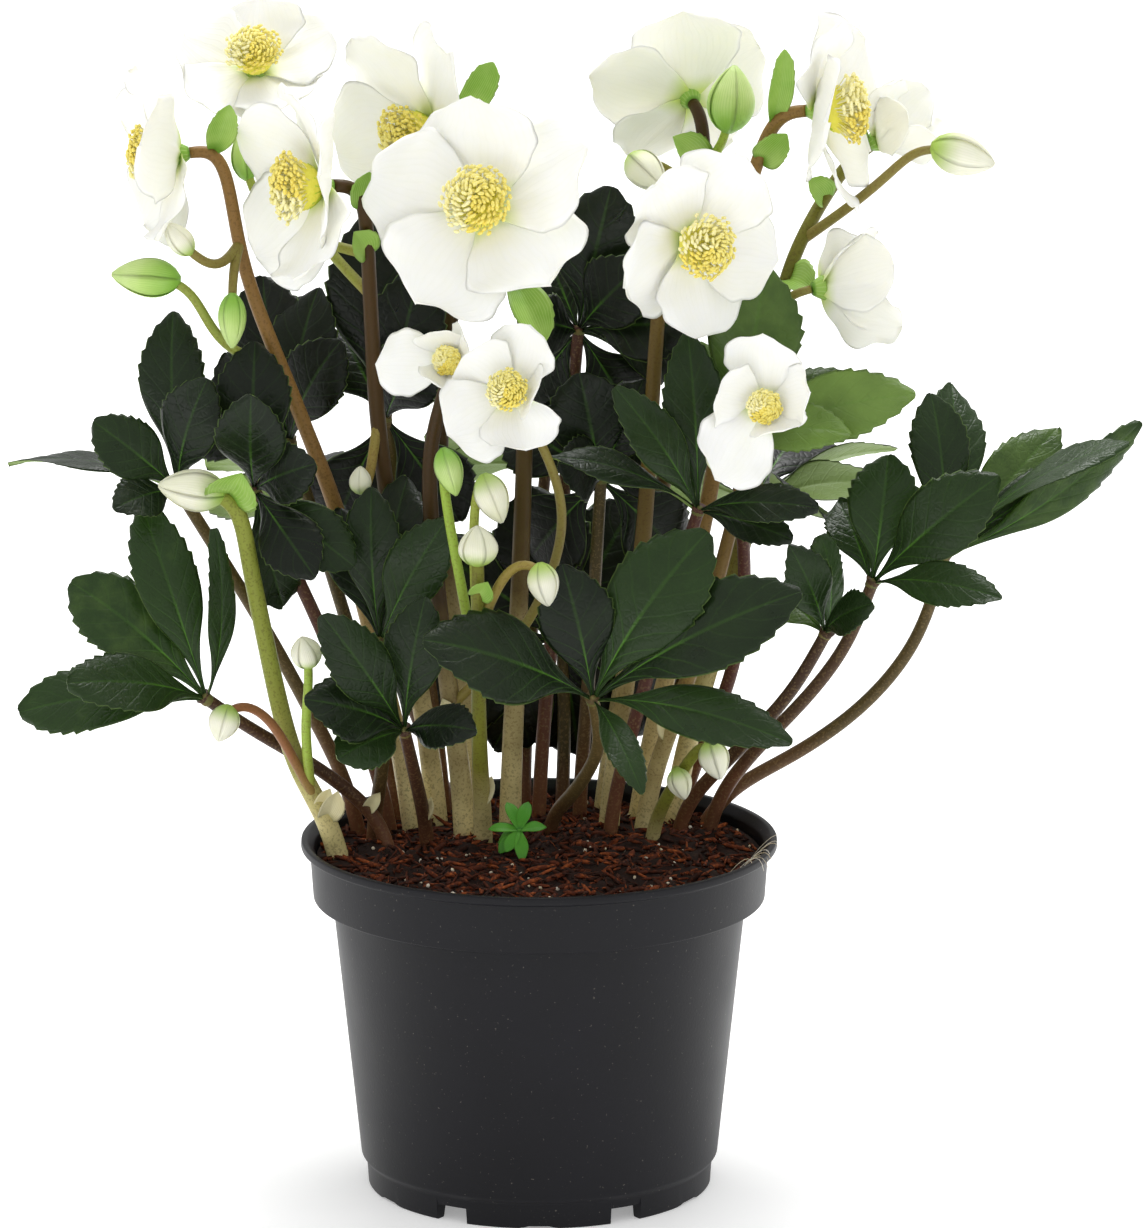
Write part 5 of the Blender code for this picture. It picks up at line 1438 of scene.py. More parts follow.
class Finish(Enum):
    """Every finish that the plant, its pot and its soil need."""

    LEAF = LeafFinish()
    PETIOLE = StemFinish("speckled_petiole", "#7a5038", "#553322",
                         ("#3e2a1a", "#54302a", "#453c20", "#5a4a2a"), "#a38a5c", 0.2)
    SCAPE = StemFinish("speckled_scape", "#f0e0a4", "#8a743a",
                       ("#33240b", "#453110", "#544818", "#8a6838", "#6c6a24", "#8c943c"), "#4c3018", 0.35)
    SHOOT = StemFinish("green_flower_stalk", "#8c7440", "#8a8a42",
                       ("#7d6a38", "#8f9a44", "#9dbb48", "#8e5a3c"), "#6a4428", 0.3, 0.05)
    SEPAL = PetalFinish("white_waxy_sepal", "#fdfdf9", "#cbe070", "#fbfaee", "#fafaf0", "#e9ebd9",
                        veins=0.08)
    BUD = PetalFinish("cream_bud_sepal", "#f7f5dc", "#a4c454", "#f7f5dc", "#ecedc4", "#d2dba0",
                      start_to=0.5, veins=0.2)
    GREEN_BUD = PetalFinish("green_bud_sepal", "#bcd97c", "#86b944", "#cfe39a", "#d5e6a2", "#8fbf4c",
                            start_to=0.7, veins=0.4, roughness=0.42, soft=0.1)
    BRACT = PetalFinish("yellow_green_bract", "#82ad40", "#6b9a34", "#a3c764", "#a9c968", "#bfd88a",
                        veins=0.4, roughness=0.36, soft=0.0)
    SEEDLING = PetalFinish("young_green_leaf", "#3f8a22", "#2f6c1c", "#6aa742", "#5aa232", "#8cc058",
                           start_to=0.2, veins=0.3, roughness=0.35, soft=0.0)
    SHEATH = PetalFinish("papery_sheath", "#e3dcb2", "#b9b884", "#e9e2c4", "#cdbf8a", "#a8935c",
                         start_to=0.4, veins=0.3, roughness=0.6, soft=0.0)
    ANTHER = GrainFinish("pollen_anther", ("#f4dc52", "#faee8c", "#fffbd2"), 1500.0, 0.7)
    FILAMENT = GrainFinish("pale_filament", ("#f6ec8c", "#fdf9cf"), 400.0, 0.5, 0.1)
    PAD = GrainFinish("yellow_brush_heart", ("#e3dc3e", "#f4ea6a"), 900.0, 0.6, 0.6)
    NECTARY = GrainFinish("green_nectary", ("#b4cf2c", "#dbe34a"), 500.0, 0.4, 0.1)
    PISTIL = GrainFinish("pale_pistil", ("#d5df8a", "#eef0bf"), 500.0, 0.45, 0.1)
    HUB = GrainFinish("leaf_hub_scar", ("#4d6a2c", "#7a5a3a"), 400.0, 0.6, 0.3)
    POT = PotFinish()
    SOIL = GrainFinish("damp_peat_soil", ("#0f0704", "#241008", "#421c0c"), 420.0, 0.9, 1.0)
    BARK = GrainFinish("shredded_bark", ("#1a0b05", "#38180a", "#602a12", "#a85626"), 700.0, 0.8, 0.8)
    SPECK = GrainFinish("pale_grit", ("#c9b48f", "#efe9dc"), 600.0, 0.8, 0.3)
    FLOOR = GrainFinish("matt_white_paper", ("#f4f4f4", "#f7f7f7"), 40.0, 0.9, 0.0)


@cache
def material_of(finish: Finish) -> bpy.types.Material:
    """The material of a finish, made when a piece first asks for it."""
    return finish.value.make()


# Sub-assemblies

LEAFLET_FORM = BladeForm(
    ((0.0, 0.05), (0.12, 0.1), (0.28, 0.36), (0.43, 0.8), (0.56, 1.02), (0.7, 1.04), (0.84, 0.78),
     (0.94, 0.44), (1.0, 0.1)),
    rows=17, teeth=6, teeth_from=0.56, tooth_depth=0.15,
    columns=(-1.0, -0.88, -0.7, -0.48, -0.28, -0.12, -0.05, 0.0, 0.05, 0.12, 0.28, 0.48, 0.7, 0.88, 1.0),
    thickness=0.7, rib=0.7, cup=-0.1, wave=1.8, waves=1.3, pucker=0.26)
SHEATH_FORM = BladeForm(
    ((0.0, 0.5), (0.3, 0.95), (0.6, 1.0), (0.85, 0.66), (1.0, 0.2)), tip_from=0.8, rows=10, thickness=0.6,
    cup=0.5, wave=0.4)
SEPAL_FORM = BladeForm(
    ((0.0, 0.1), (0.16, 0.42), (0.34, 0.74), (0.52, 0.98), (0.68, 1.04), (0.84, 1.04), (1.0, 1.04)),
    tip_from=0.5, rows=30, frill=0.035, twist=0.22,
    columns=(-1.0, -0.92, -0.8, -0.64, -0.46, -0.27, -0.1, 0.0, 0.1, 0.27, 0.46, 0.64, 0.8, 0.92, 1.0),
    thickness=0.6, rib=0.25, cup=0.04, wave=1.7, waves=2.3, crinkle=0.38)
SEEDLING_FORM = BladeForm(
    ((0.0, 0.2), (0.3, 0.75), (0.6, 1.0), (0.85, 0.62), (1.0, 0.1)), tip_from=0.9, thickness=0.5, rib=0.3,
    cup=0.15, wave=0.2)
BRACT_FORM = BladeForm(
    ((0.0, 0.4), (0.18, 0.8), (0.45, 1.12), (0.7, 1.06), (0.88, 0.72), (1.0, 0.2)),
    tip_from=0.88, rows=11, teeth=4, teeth_from=0.5, tooth_depth=0.14, thickness=0.6, rib=0.3, cup=0.42,
    wave=0.5, waves=1.1, crinkle=0.12)


# How light each leaf is drawn, from the darkest, 0, to the lightest, 1: partly the leaf's own green, partly
# painted light, with painted sheen making some leaves lighter
LEAF_TONE_AND_PAINTED_LIGHT = {"leaf_right_upper": 0.95, "leaf_right_inner": 0.5, "leaf_front": 0.42, "leaf_front_left": 0.4,
              "leaf_low_left": 0.55, "leaf_left": 0.42, "leaf_left_inner": 0.45, "leaf_left_middle": 0.3,
              "leaf_far_right": 0.7, "leaf_right": 0.5, "leaf_right_low": 0.6}
# The unlisted leaves of the clump's middle and back take the darkest tone, which is partly painted shade
DARK_LEAF_TONE_AND_PAINTED_SHADE = 0.1
# Which tone of the scape finish each stem has, from dark brown, 0, through pink-brown to yellow-green, 1
SCAPE_TONES = {"scape_left": 0.6, "scape_upper_left": 0.18, "scape_bud_left": 1.0, "scape_far_right": 0.8,
               "scape_right": 0.62, "scape_right_front": 0.45, "scape_front": 0.28, "buds_centre": 0.85,
               "buds_right": 0.9, "scape_middle_right": 0.5}
PLAIN_SCAPE_TONE = 0.1
# Share of length and of curl that each sepal of a half-open flower has grown to
HALF_OPEN = {"bloom_small_left": ((0.92, 1.15), (0.95, 1.1), (1.3, 0.3), (0.95, 1.15), (0.88, 1.2)),
             "bloom_small": ((1.12, 0.8), (1.1, 0.7), (1.28, 0.5), (1.15, 0.7), (0.88, 1.5)),
             "bloom_small_right": ((0.92, 1.1), (1.15, 0.5), (1.0, 0.9), (1.28, 0.35), (0.88, 1.25))}
# Share of their length that the bracts keep under a flower that they would touch
SHORT_BRACTS = {"scape_upper_left": 0.7}
GREEN_BUDS = ((-137, -9, 331), (-107, -11, 316), (68, 40, 386), (-31, -30, 266), (-103, 10, 371))


@dataclass
class LeafPiece:
    """One divided leaf: its petiole, the small knob at its hub and its toothed leaflets."""

    plant: Plant
    leaf: Leaf
    hub_size: tuple = (6.5, 5.0)
    tone_spread: float = 0.4
    rear_wide: float = 1.2
    shorter: float = 0.98

    def skin(self) -> Skin:
        """The whole leaf as one skin: finish 0 is the blade, 1 the petiole and 2 the hub.

        Returns:
            The skin.
        """
        name = self.leaf.name
        skins = [stem_skin(stem.path, stem.radii, STEM_SIDES, value_hash(*stem.path[0][:2]), 1)
                 for stem in self.plant.stems if stem.owner == name]
        skins.append(knob_skin(np.array(self.leaf.hub, dtype=float), self.leaf.face, *self.hub_size, 0.5, 2))
        wider = 1.0 if name in LEAF_TONE_AND_PAINTED_LIGHT else self.rear_wide
        for index, blade in enumerate(self.plant.blades):
            if blade.owner == name:
                phase = value_hash(index, blade.length, blade.width)
                drawn = replace(blade, length=blade.length * self.shorter, width=blade.width * wider)
                leaflet = blade_skin(LEAFLET_FORM, drawn, phase, 0)
                # The tone is partly painted light: painted sheen on the lighter leaves, painted shade on the
                # dark middle and back ones
                tone = LEAF_TONE_AND_PAINTED_LIGHT.get(name, DARK_LEAF_TONE_AND_PAINTED_SHADE) + self.tone_spread * (phase - 0.5)
                leaflet.tint[:] = min(max(tone, 0.0), 1.0)
                skins.append(leaflet)
        return gathered(skins)

    def build(self) -> bpy.types.Object:
        """Make the leaf and let it stand for its solid."""
        kinds = (Finish.LEAF, Finish.PETIOLE, Finish.HUB)
        return make_piece(self.leaf.name + "_grown", self.skin(), kinds, self.leaf.name)


@dataclass
class ScapePiece:
    """One flowering stem with its side shoots, its bracts and its closed buds."""

    plant: Plant
    scape: Scape
    bud_sepals: int = 5
    bud_overlap: float = 44.0
    core: tuple = (0.94, 0.86)
    tuck: float = 0.45
    dry_below: float = 160.0
    bract_wide: float = 1.12
    swell: float = 0.24

    def bud_skin(self, bud: Bud) -> Skin:
        """A closed bud: sepals rolled round an egg, each with one margin tucked under its neighbour.

        The egg's radius is half a sine of the length's share to the power 0.82, and each sepal's
        radius grows by a seventh from its tucked margin to its outer one.

        Args:
            bud: The bud's place and size.

        Returns:
            The bud as one skin, of finish 1 or, where it is green, 5.
        """
        axis = unit(bud.points)
        first, second = cross_axes(axis)
        shares = np.linspace(0.015, 0.985, 13)
        profile = 0.5 * bud.width * np.sin(math.pi * shares ** 0.82) ** 0.72
        centre = np.array(bud.at, dtype=float)
        line = centre + (shares[:, None] - 0.5) * bud.length * axis
        steps = np.linspace(0.0, 1.0, 8)
        rim = np.concatenate((steps, steps[-2:0:-1]))
        inside = np.arange(len(rim)) >= len(steps)
        finish = 5 if bud.at in GREEN_BUDS else 1
        skins = [knob_skin(centre, axis, bud.length * self.core[0], bud.width * self.core[1], 0.3, finish)]
        spread = math.radians(360.0 / self.bud_sepals + self.bud_overlap)
        for index in range(self.bud_sepals):
            start = 2.0 * math.pi * index / self.bud_sepals + bud.at[0]
            radius = profile[:, None] * (0.9 + 0.13 * rim)[None] - self.tuck * inside[None]
            turn = circle(start + spread * rim, first, second)
            points = line[:, None] + np.maximum(radius, 0.05)[..., None] * turn[None]
            skins.append(closed_skin(points, value_hash(index, bud.at[0]), finish, grid_uv(shares, rim)))
        return gathered(skins)

    def skin(self) -> Skin:
        """The whole scape: finish 0 is the stem, 1 and 5 buds, 2 bracts, 3 dry sheaths and 4 side shoots.

        Returns:
            The skin.
        """
        name = self.scape.name
        skins = []
        for stem in self.plant.stems:
            if stem.owner == name and stem.rooted:
                tone = SCAPE_TONES.get(name, PLAIN_SCAPE_TONE)
                skins.append(stem_skin(stem.path, stem.radii, STEM_SIDES, tone, 0, swell=self.swell))
            elif stem.owner == name:
                skins.append(stem_skin(stem.path, stem.radii, STEM_SIDES, value_hash(*stem.path[0][:2]), 4))
        skins += [self.bud_skin(bud) for owner, bud in self.plant.buds if owner == name]
        kept = SHORT_BRACTS.get(name, 1.0)
        for blade in self.plant.blades:
            if blade.owner == name:
                phase = value_hash(blade.length, blade.width)
                drawn = replace(blade, length=blade.length * kept, width=blade.width * self.bract_wide)
                finish = 3 if blade.root[2] < self.dry_below else 2
                skins.append(blade_skin(BRACT_FORM, drawn, phase, finish))
        return gathered(skins)

    def build(self) -> bpy.types.Object:
        """Make the scape and let it stand for its solid."""
        kinds = (Finish.SCAPE, Finish.BUD, Finish.BRACT, Finish.SHEATH, Finish.SHOOT, Finish.GREEN_BUD)
        return make_piece(self.scape.name + "_grown", self.skin(), kinds, self.scape.name)


@dataclass
class BloomPiece:
    """One open flower: five broad sepals on a green receptacle, and its brush of stamens.

    The lengths of the brush are those of a full-size flower and shrink with a smaller one.
    """

    bloom: Bloom
    stamens: int = 190
    nectaries: int = 15
    pistils: int = 7
    curl: float = 12.0
    uneven: float = 0.1
    filament: tuple = (0.34, 0.26)
    anther: tuple = (0.72, 0.6, 1.2)
    dome_height: float = 16.4
    dome_fall: float = 4.8
    dome_reach: float = 12.4
    nectary: tuple = (0.8, 1.35)
    nectary_line: tuple = ((3.6, 0.0), (7.2, 5.4))
    pistil: tuple = (1.0, 0.3)
    pistil_line: tuple = ((0.9, 0.0), (1.6, 7.0), (2.1, 14.5))
    heart: tuple = ((0.6, 12.2), (4.0, 11.6), (7.4, 9.4), (8.6, 6.6), (7.2, 3.4), (4.2, 0.4))

    def sepal_skin(self) -> Skin:
        """The sepals, finish 0, on the tip of the stem, finish 1.

        Returns:
            The skin.
        """
        bloom, heart, face = self.bloom, self.bloom.heart(), self.bloom.face()
        neck = np.array((heart - face * NECK, heart - face, heart + face * (HEART_RISE - 1.2)))
        skins = [stem_skin(neck, np.array((2.3, 3.6, 4.6)), 14, 0.5, 1, 1.0)]
        for index in range(SEPALS):
            axes, length, width = bloom.sepal_pose(index)
            phase = value_hash(index, bloom.at[0], bloom.at[2])
            odd = value_hash(index, bloom.at[1], bloom.sepal) - 0.5
            grown, closed = HALF_OPEN.get(bloom.name, ((1.0, 1.0),) * SEPALS)[index]
            lean = (bloom.lean[0] * closed, (bloom.lean[1] + self.curl * (phase - 0.5)) * closed)
            length, width = length * grown * (1.0 + self.uneven * odd), width * grown * (1.0 - 0.1 * odd)
            sepal = Blade(heart, axes, length, width, lean, slope=bloom.slope)
            skins.append(blade_skin(SEPAL_FORM, sepal, phase, 0))
        return gathered(skins)

    def brush_skin(self) -> Skin:
        """The brush: filaments that spread forward from the receptacle, an anther on each.

        Stamen i turns by the golden angle and stands out by the root of its share, so the tips fill a
        shallow dome. A ring of tubular nectaries stands round their feet and pistils in their middle.
        Finish 0 is the anther, 1 the filament, 2 the nectary, 3 the pistil and 4 the dense heart.

        Returns:
            The skin.
        """
        face, size = self.bloom.face(), self.bloom.brush_size()
        first, second = cross_axes(face)
        foot = self.bloom.heart() + face * (HEART_RISE - 0.6)
        count = int(self.stamens * (0.55 + 0.45 * size))
        order = np.arange(count)
        wobble = np.sin(order * 2.7) * 0.5 + np.sin(order * 1.13) * 0.5
        out = np.sqrt((order + 0.5) / count)
        radial = circle(order * math.radians(GOLDEN_ANGLE), second, first)
        rise = (self.dome_height - self.dome_fall * out ** 2 + 1.3 * wobble) * size
        spread = (self.dome_reach * out + 0.7 * np.sin(order * 1.9)) * size
        starts = foot + radial * (1.2 + 2.9 * out)[:, None] * size
        ends = foot + radial * spread[:, None] + face * rise[:, None]
        bends = foot + radial * (1.5 + 4.6 * out)[:, None] * size + face * (0.6 * rise)[:, None]
        skins = [thin_rods(starts, bends, ends, *self.filament, 1)]
        dome = np.array(self.heart) * size
        ring = circle(even_turns(20), second, first)
        rings = foot + dome[:, :1, None] * ring[None] + dome[:, 1:, None] * face
        skins.append(closed_skin(rings, 0.5, 4))
        tips = unit_rows(ends - bends)
        sideways = unit_rows(np.cross(tips, face + 0.01 * first) + radial * 0.3)
        sizes = np.tile(np.array(self.anther), (count, 1))
        sizes[:, 2] += 0.2 * wobble
        skins.append(small_grains(ends, frames_round(sideways), sizes * max(size, 0.75), 0))

        def ring_at(ring: np.ndarray, reach: float, height: float) -> np.ndarray:
            """Points of a ring at a reach from the brush's axis and a height over its foot."""
            return foot + ring * reach * size + face * height * size

        outer = circle(np.arange(self.nectaries) * 2.0 * math.pi / self.nectaries, second, first)
        low, high = (ring_at(outer, *spot) for spot in self.nectary_line)
        wide = [share * size for share in self.nectary]
        skins.append(thin_rods(low, (low + high) * 0.5 + outer * 0.5, high, *wide, 2))
        inner = circle(np.arange(self.pistils) * 2.0 * math.pi / self.pistils, second, first)
        wide = [share * size for share in self.pistil]
        skins.append(thin_rods(*(ring_at(inner, *spot) for spot in self.pistil_line), *wide, 3, 6))
        return gathered(skins)

    def build(self) -> None:
        """Make the sepals and, in an open flower, the brush; each stands for its solid."""
        name = self.bloom.name
        make_piece(name + "_sepals_grown", self.sepal_skin(), (Finish.SEPAL, Finish.BRACT),
                   name + "_sepals")
        if name != CLOSED_BLOOM:
            kinds = (Finish.ANTHER, Finish.FILAMENT, Finish.NECTARY, Finish.PISTIL, Finish.PAD)
            make_piece(name + "_brush", self.brush_skin(), kinds, name + "_stamens")


@dataclass
class PotPiece:
    """The turned pot: rolled lip, deep collar, tapered body and a foot with notches and shallow arches."""

    steps: int = 216
    corner: float = 0.7
    notch_count: int = 6
    notch_width: float = 12.0
    notch_height: float = 5.7
    first_notch: float = -60.0
    arch_height: float = 1.0
    arch_from: float = 24.0
    first_drain: float = 11.0

    def profile(self) -> np.ndarray:
        """Radius and height of the pot's section, from the middle of its floor round to its boss.

        Each corner is rounded by the curve (1-t)^2 start + 2t(1-t) corner + t^2 end.

        Returns:
            Points as rows by two.
        """
        floor_top = FLOOR_UNDERSIDE + WALL
        shelf_top = COLLAR_BOTTOM + WALL
        corners = np.array((
            (0.5, floor_top), (inner_radius(floor_top), floor_top),
            (inner_radius(shelf_top), shelf_top), (COLLAR_FOOT_RADIUS - WALL, shelf_top),
            (COLLAR_TOP_RADIUS - WALL, POT_HEIGHT - LIP_DEPTH), (LIP_RADIUS - 2.2, POT_HEIGHT),
            (LIP_RADIUS - 0.2, POT_HEIGHT), (LIP_RADIUS, POT_HEIGHT - 2.8),
            (COLLAR_TOP_RADIUS, POT_HEIGHT - LIP_DEPTH - 0.6), (COLLAR_FOOT_RADIUS, COLLAR_BOTTOM),
            (BODY_TOP_RADIUS, COLLAR_BOTTOM), (BODY_FOOT_RADIUS, BODY_BOTTOM),
            (FOOT_RADIUS, BODY_BOTTOM - 2.0), (FOOT_RADIUS - 0.6, 0.0), (FOOT_RADIUS - 4.6, 0.0),
            (FOOT_RADIUS - 5.6, FLOOR_UNDERSIDE), (BOSS_RADIUS + 1.5, FLOOR_UNDERSIDE),
            (BOSS_RADIUS, 0.0), (0.5, 0.0)))
        here, before, after = corners[1:-1], corners[:-2], corners[2:]
        back, ahead = before - here, after - here
        back_length = np.linalg.norm(back, axis=1)[:, None]
        ahead_length = np.linalg.norm(ahead, axis=1)[:, None]
        start = here + back / back_length * np.minimum(self.corner, 0.4 * back_length)
        end = here + ahead / ahead_length * np.minimum(self.corner, 0.4 * ahead_length)
        t = np.linspace(0.0, 1.0, 5)[:, None]
        start, here, end = start[:, None], here[:, None], end[:, None]
        curve = (1 - t) ** 2 * start + 2 * t * (1 - t) * here + t ** 2 * end
        return np.concatenate((corners[:1], curve.reshape(-1, 2), corners[-1:]))

    def skin(self) -> Skin:
        """The pot as one skin: heights of the foot ring are lifted where a notch or arch is.

        Returns:
            The skin.
        """
        half = math.degrees(0.5 * self.notch_width / FOOT_RADIUS)
        even = np.arange(0.0, 360.0, 360.0 / self.steps)
        centres = self.first_notch + np.arange(self.notch_count) * 360.0 / self.notch_count
        beside = [side * (half + step) for side in (-1, 1) for step in (-0.12, 0.12)]
        edges = np.add.outer(beside, centres).ravel()
        degrees = np.unique(np.round(np.concatenate((even, edges % 360.0)), 4))
        gap = np.abs((degrees[:, None] - centres[None] + 180.0) % 360.0 - 180.0).min(axis=1)
        lift = np.where(gap < half, self.notch_height, 0.0)
        lift = np.maximum(lift, self.arch_height * np.clip((gap - self.arch_from) / 2.0, 0.0, 1.0))
        profile = np.repeat(self.profile()[:, None], len(degrees), axis=1)
        foot = (profile[..., 0] > BOSS_RADIUS + 20.0) & (profile[..., 1] < FLOOR_UNDERSIDE)
        profile[..., 1] = np.where(foot, np.maximum(profile[..., 1], lift[None]), profile[..., 1])
        rings = spun_rings(profile, np.radians(degrees))
        return closed_skin(rings, 0.5, 0, grid_uv(np.linspace(0.0, 1.0, len(rings)), degrees / 360.0))

    def build(self) -> bpy.types.Object:
        """Make the pot, cut its drain holes and let it stand for its solid.

        Returns:
            The pot.
        """
        pot = make_piece("pot_moulded", self.skin(), (Finish.POT,), "pot")
        pot.data.set_sharp_from_angle(angle=math.radians(40.0))
        for index in range(DRAIN_COUNT):
            angle = math.radians(360.0 * index / DRAIN_COUNT + self.first_drain)
            centre = np.array((DRAIN_RING * math.cos(angle), DRAIN_RING * math.sin(angle), FLOOR_UNDERSIDE))
            path = np.array((centre - UP * 2.0, centre, centre + UP * (WALL + 1.5)))
            hole = stem_skin(path, np.full(3, DRAIN_RADIUS), 24, 0.5, 0)
            mesh = bpy.data.meshes.new("drain")
            mesh.from_pydata(hole.points * MM, [], hole.faces)
            cutter = bpy.data.objects.new("drain", mesh)
            bpy.context.scene.collection.objects.link(cutter)
            cut = pot.modifiers.new("drain", "BOOLEAN")
            cut.object = cutter
            cut.solver = "EXACT"
            graph = bpy.context.evaluated_depsgraph_get()
            kept = bpy.data.meshes.new_from_object(pot.evaluated_get(graph))
            pot.modifiers.clear()
            pot.data = kept
            bpy.data.objects.remove(cutter)
        return pot


@dataclass
class SoilPiece:
    """The potting mix: a crumbly mound of peat, shreds of bark, fibres and pale grit."""

    rings: int = 70
    steps: int = 180
    shreds: int = 2300
    grit: int = 110
    fibres: int = 260
    hairs: int = 9
    crumb: float = 0.9
    floor: float = 111.0
    shred_wide: tuple = (0.35, 1.3)
    shred_thick: tuple = (0.2, 0.6)
    shred_longest: float = 6.5
    shred_lift: tuple = (-0.2, 0.9)
    grit_size: tuple = (0.35, 0.95)
    fibre_reach: tuple = (3.0, 9.0)
    fibre_rise: tuple = (0.8, 2.6)
    hair: tuple = (0.16, 0.1)
    hair_turns: tuple = (-32.0, -4.0)
    hair_drop: tuple = (-4.0, 13.0)

    def heights(self, x: np.ndarray, y: np.ndarray) -> np.ndarray:
        """Height of the ground: the solid's mound and lumps, with crumbs of two sizes from noise.

        Args:
            x: Places in millimetres.
            y: Places in millimetres.

        Returns:
            Heights in millimetres.
        """
        radius = np.hypot(x, y)
        lumps = np.sin(0.21 * x + 1.3) * np.cos(0.17 * y - 0.4) + 0.6 * np.sin(0.33 * y + 0.19 * x)
        mound = SOIL_MOUND * (1.0 - (radius / SOIL_RADIUS) ** 2)
        fade = 1.0 - np.minimum(radius / SOIL_RADIUS, 1.0) ** 6
        crumbs = self.crumb * (lattice_noise(x, y, 4.5, 3) + 0.6 * lattice_noise(x, y, 2.0, 5))
        return SOIL_EDGE + mound + SOIL_LUMP * lumps * fade + crumbs * (0.25 + 0.75 * fade)

    def ground_skin(self) -> Skin:
        """The crumbly top with a short wall and a flat floor inside the pot.

        Returns:
            The skin.
        """
        turns = even_turns(self.steps)
        radii = np.linspace(0.6, COLLAR_TOP_RADIUS - WALL - 0.9, self.rings)
        x, y = radii[:, None] * np.cos(turns), radii[:, None] * np.sin(turns)
        top = np.stack((x, y, self.heights(x, y)), axis=-1)
        low = np.array(((COLLAR_FOOT_RADIUS - WALL - 0.6, self.floor), (1.0, self.floor)))
        return closed_skin(np.concatenate((top, spun_rings(low, turns))), 0.35, 0)

    def scattered(self, count: int, seed: int, inner: float = 0.0) -> tuple:
        """Places spread evenly over the ground, with their random draw.

        Args:
            count: How many.
            seed: Which draw.
            inner: Least radius, as a share of the ground's.

        Returns:
            The draw and the places, one a row, on the ground.
        """
        draw = np.random.default_rng(seed)
        radius = (SOIL_RADIUS - 1.5) * np.sqrt(draw.uniform(inner ** 2, 1.0, count))
        turn = draw.uniform(0.0, 2.0 * math.pi, count)
        x, y = radius * np.cos(turn), radius * np.sin(turn)
        return draw, np.stack((x, y, self.heights(x, y)), axis=1)

    def litter_skin(self) -> Skin:
        """Shreds of bark and thin fibres, finish 0, and grit and the hairs over the rim, finish 1.

        Returns:
            The skin.
        """
        draw, places = self.scattered(self.shreds, 11)
        turn = draw.uniform(0.0, 2.0 * math.pi, self.shreds)
        tilt = draw.normal(0.0, 0.32, self.shreds)
        ways = np.stack((np.cos(turn) * np.cos(tilt), np.sin(turn) * np.cos(tilt), np.sin(tilt)), axis=1)
        half = np.stack((draw.uniform(*self.shred_wide, self.shreds),
                         draw.uniform(*self.shred_thick, self.shreds),
                         draw.gamma(3.0, 0.75, self.shreds) + 0.7), axis=1)
        half[:, 2] = np.minimum(half[:, 2], self.shred_longest)
        spots = places + UP * draw.uniform(*self.shred_lift, self.shreds)[:, None]
        inside = np.hypot(spots[:, 0], spots[:, 1]) + half[:, 2] < SOIL_RADIUS + 0.8
        shreds = small_grains(spots[inside], frames_round(ways[inside]), half[inside], 0, 4)
        draw, places = self.scattered(self.grit, 23)
        ways = unit_rows(draw.normal(0.0, 1.0, (self.grit, 3)))
        sizes = draw.uniform(*self.grit_size, (self.grit, 3))
        grit = small_grains(places + UP * 0.5, frames_round(ways), sizes, 1)
        draw, places = self.scattered(self.fibres, 31)
        turn = draw.uniform(0.0, 2.0 * math.pi, self.fibres)
        reach = draw.uniform(*self.fibre_reach, self.fibres)[:, None] * circle(turn, *FLAT)
        keep = np.hypot(*(places + reach)[:, :2].T) < SOIL_RADIUS
        starts, ends = places[keep], (places + reach)[keep]
        ends[:, 2] = self.heights(ends[:, 0], ends[:, 1]) + 0.4
        bends = 0.5 * (starts + ends) + UP * draw.uniform(*self.fibre_rise, len(starts))[:, None]
        fibres = thin_rods(starts, bends, ends, *self.hair, 0)
        turn = np.radians(draw.uniform(*self.hair_turns, self.hairs))
        way = circle(turn, *FLAT)
        drop = draw.uniform(*self.hair_drop, self.hairs)[:, None]
        starts = way * (SOIL_RADIUS - 3.0) + UP * (SOIL_EDGE + 1.0)
        bends = way * (LIP_RADIUS + 1.0) + UP * (POT_HEIGHT + 7.0)
        ends = way * (LIP_RADIUS + 2.6) + UP * (POT_HEIGHT - drop)
        hairs = thin_rods(starts, bends, ends, *self.hair, 1, 8)
        return gathered([shreds, grit, fibres, hairs])

    def build(self) -> None:
        """Make the ground, which stands for its solid, and the litter on it."""
        make_piece("soil_ground", self.ground_skin(), (Finish.SOIL,), "soil")
        make_piece("soil_litter", self.litter_skin(), (Finish.BARK, Finish.SPECK))


@dataclass
class SeedlingPiece:
    """The small bright seedling at the front of the soil."""

    turns: tuple = ((-150, 46), (-95, 4), (-38, -38), (8, -48), (-70, -44), (96, 8), (158, 46), (-122, -30))
    radii: tuple = (0.9, 0.9, 0.8)

    def build(self) -> bpy.types.Object:
        """Make the stem and leaflets, and let them stand for the solid.

        Returns:
            The seedling.
        """
        top = np.array((*SEEDLING_AT, SOIL_EDGE + SEEDLING_HEIGHT))
        foot = np.array((*SEEDLING_AT, ROOT_BOTTOM + 8.5))
        line = np.array((foot, (foot + top) * 0.5, top + UP * 0.6))
        skins = [stem_skin(line, np.array(self.radii), 8, 0.4, 0, 2.0)]
        for index, (turn, rise) in enumerate(self.turns):
            way = facing(turn, rise)
            axes = blade_axes(way, np.array((0.1, -0.6, 1.0)), 0.0)
            length = SEEDLING_LENGTH * (1.0 - 0.1 * (index % 3))
            leaflet = Blade(top - way * 0.4, axes, length, SEEDLING_WIDTH, (14.0, -22.0), 0.1)
            skins.append(blade_skin(SEEDLING_FORM, leaflet, value_hash(index), 0))
        return make_piece("seedling_grown", gathered(skins), (Finish.SEEDLING,),
                          "seedling")


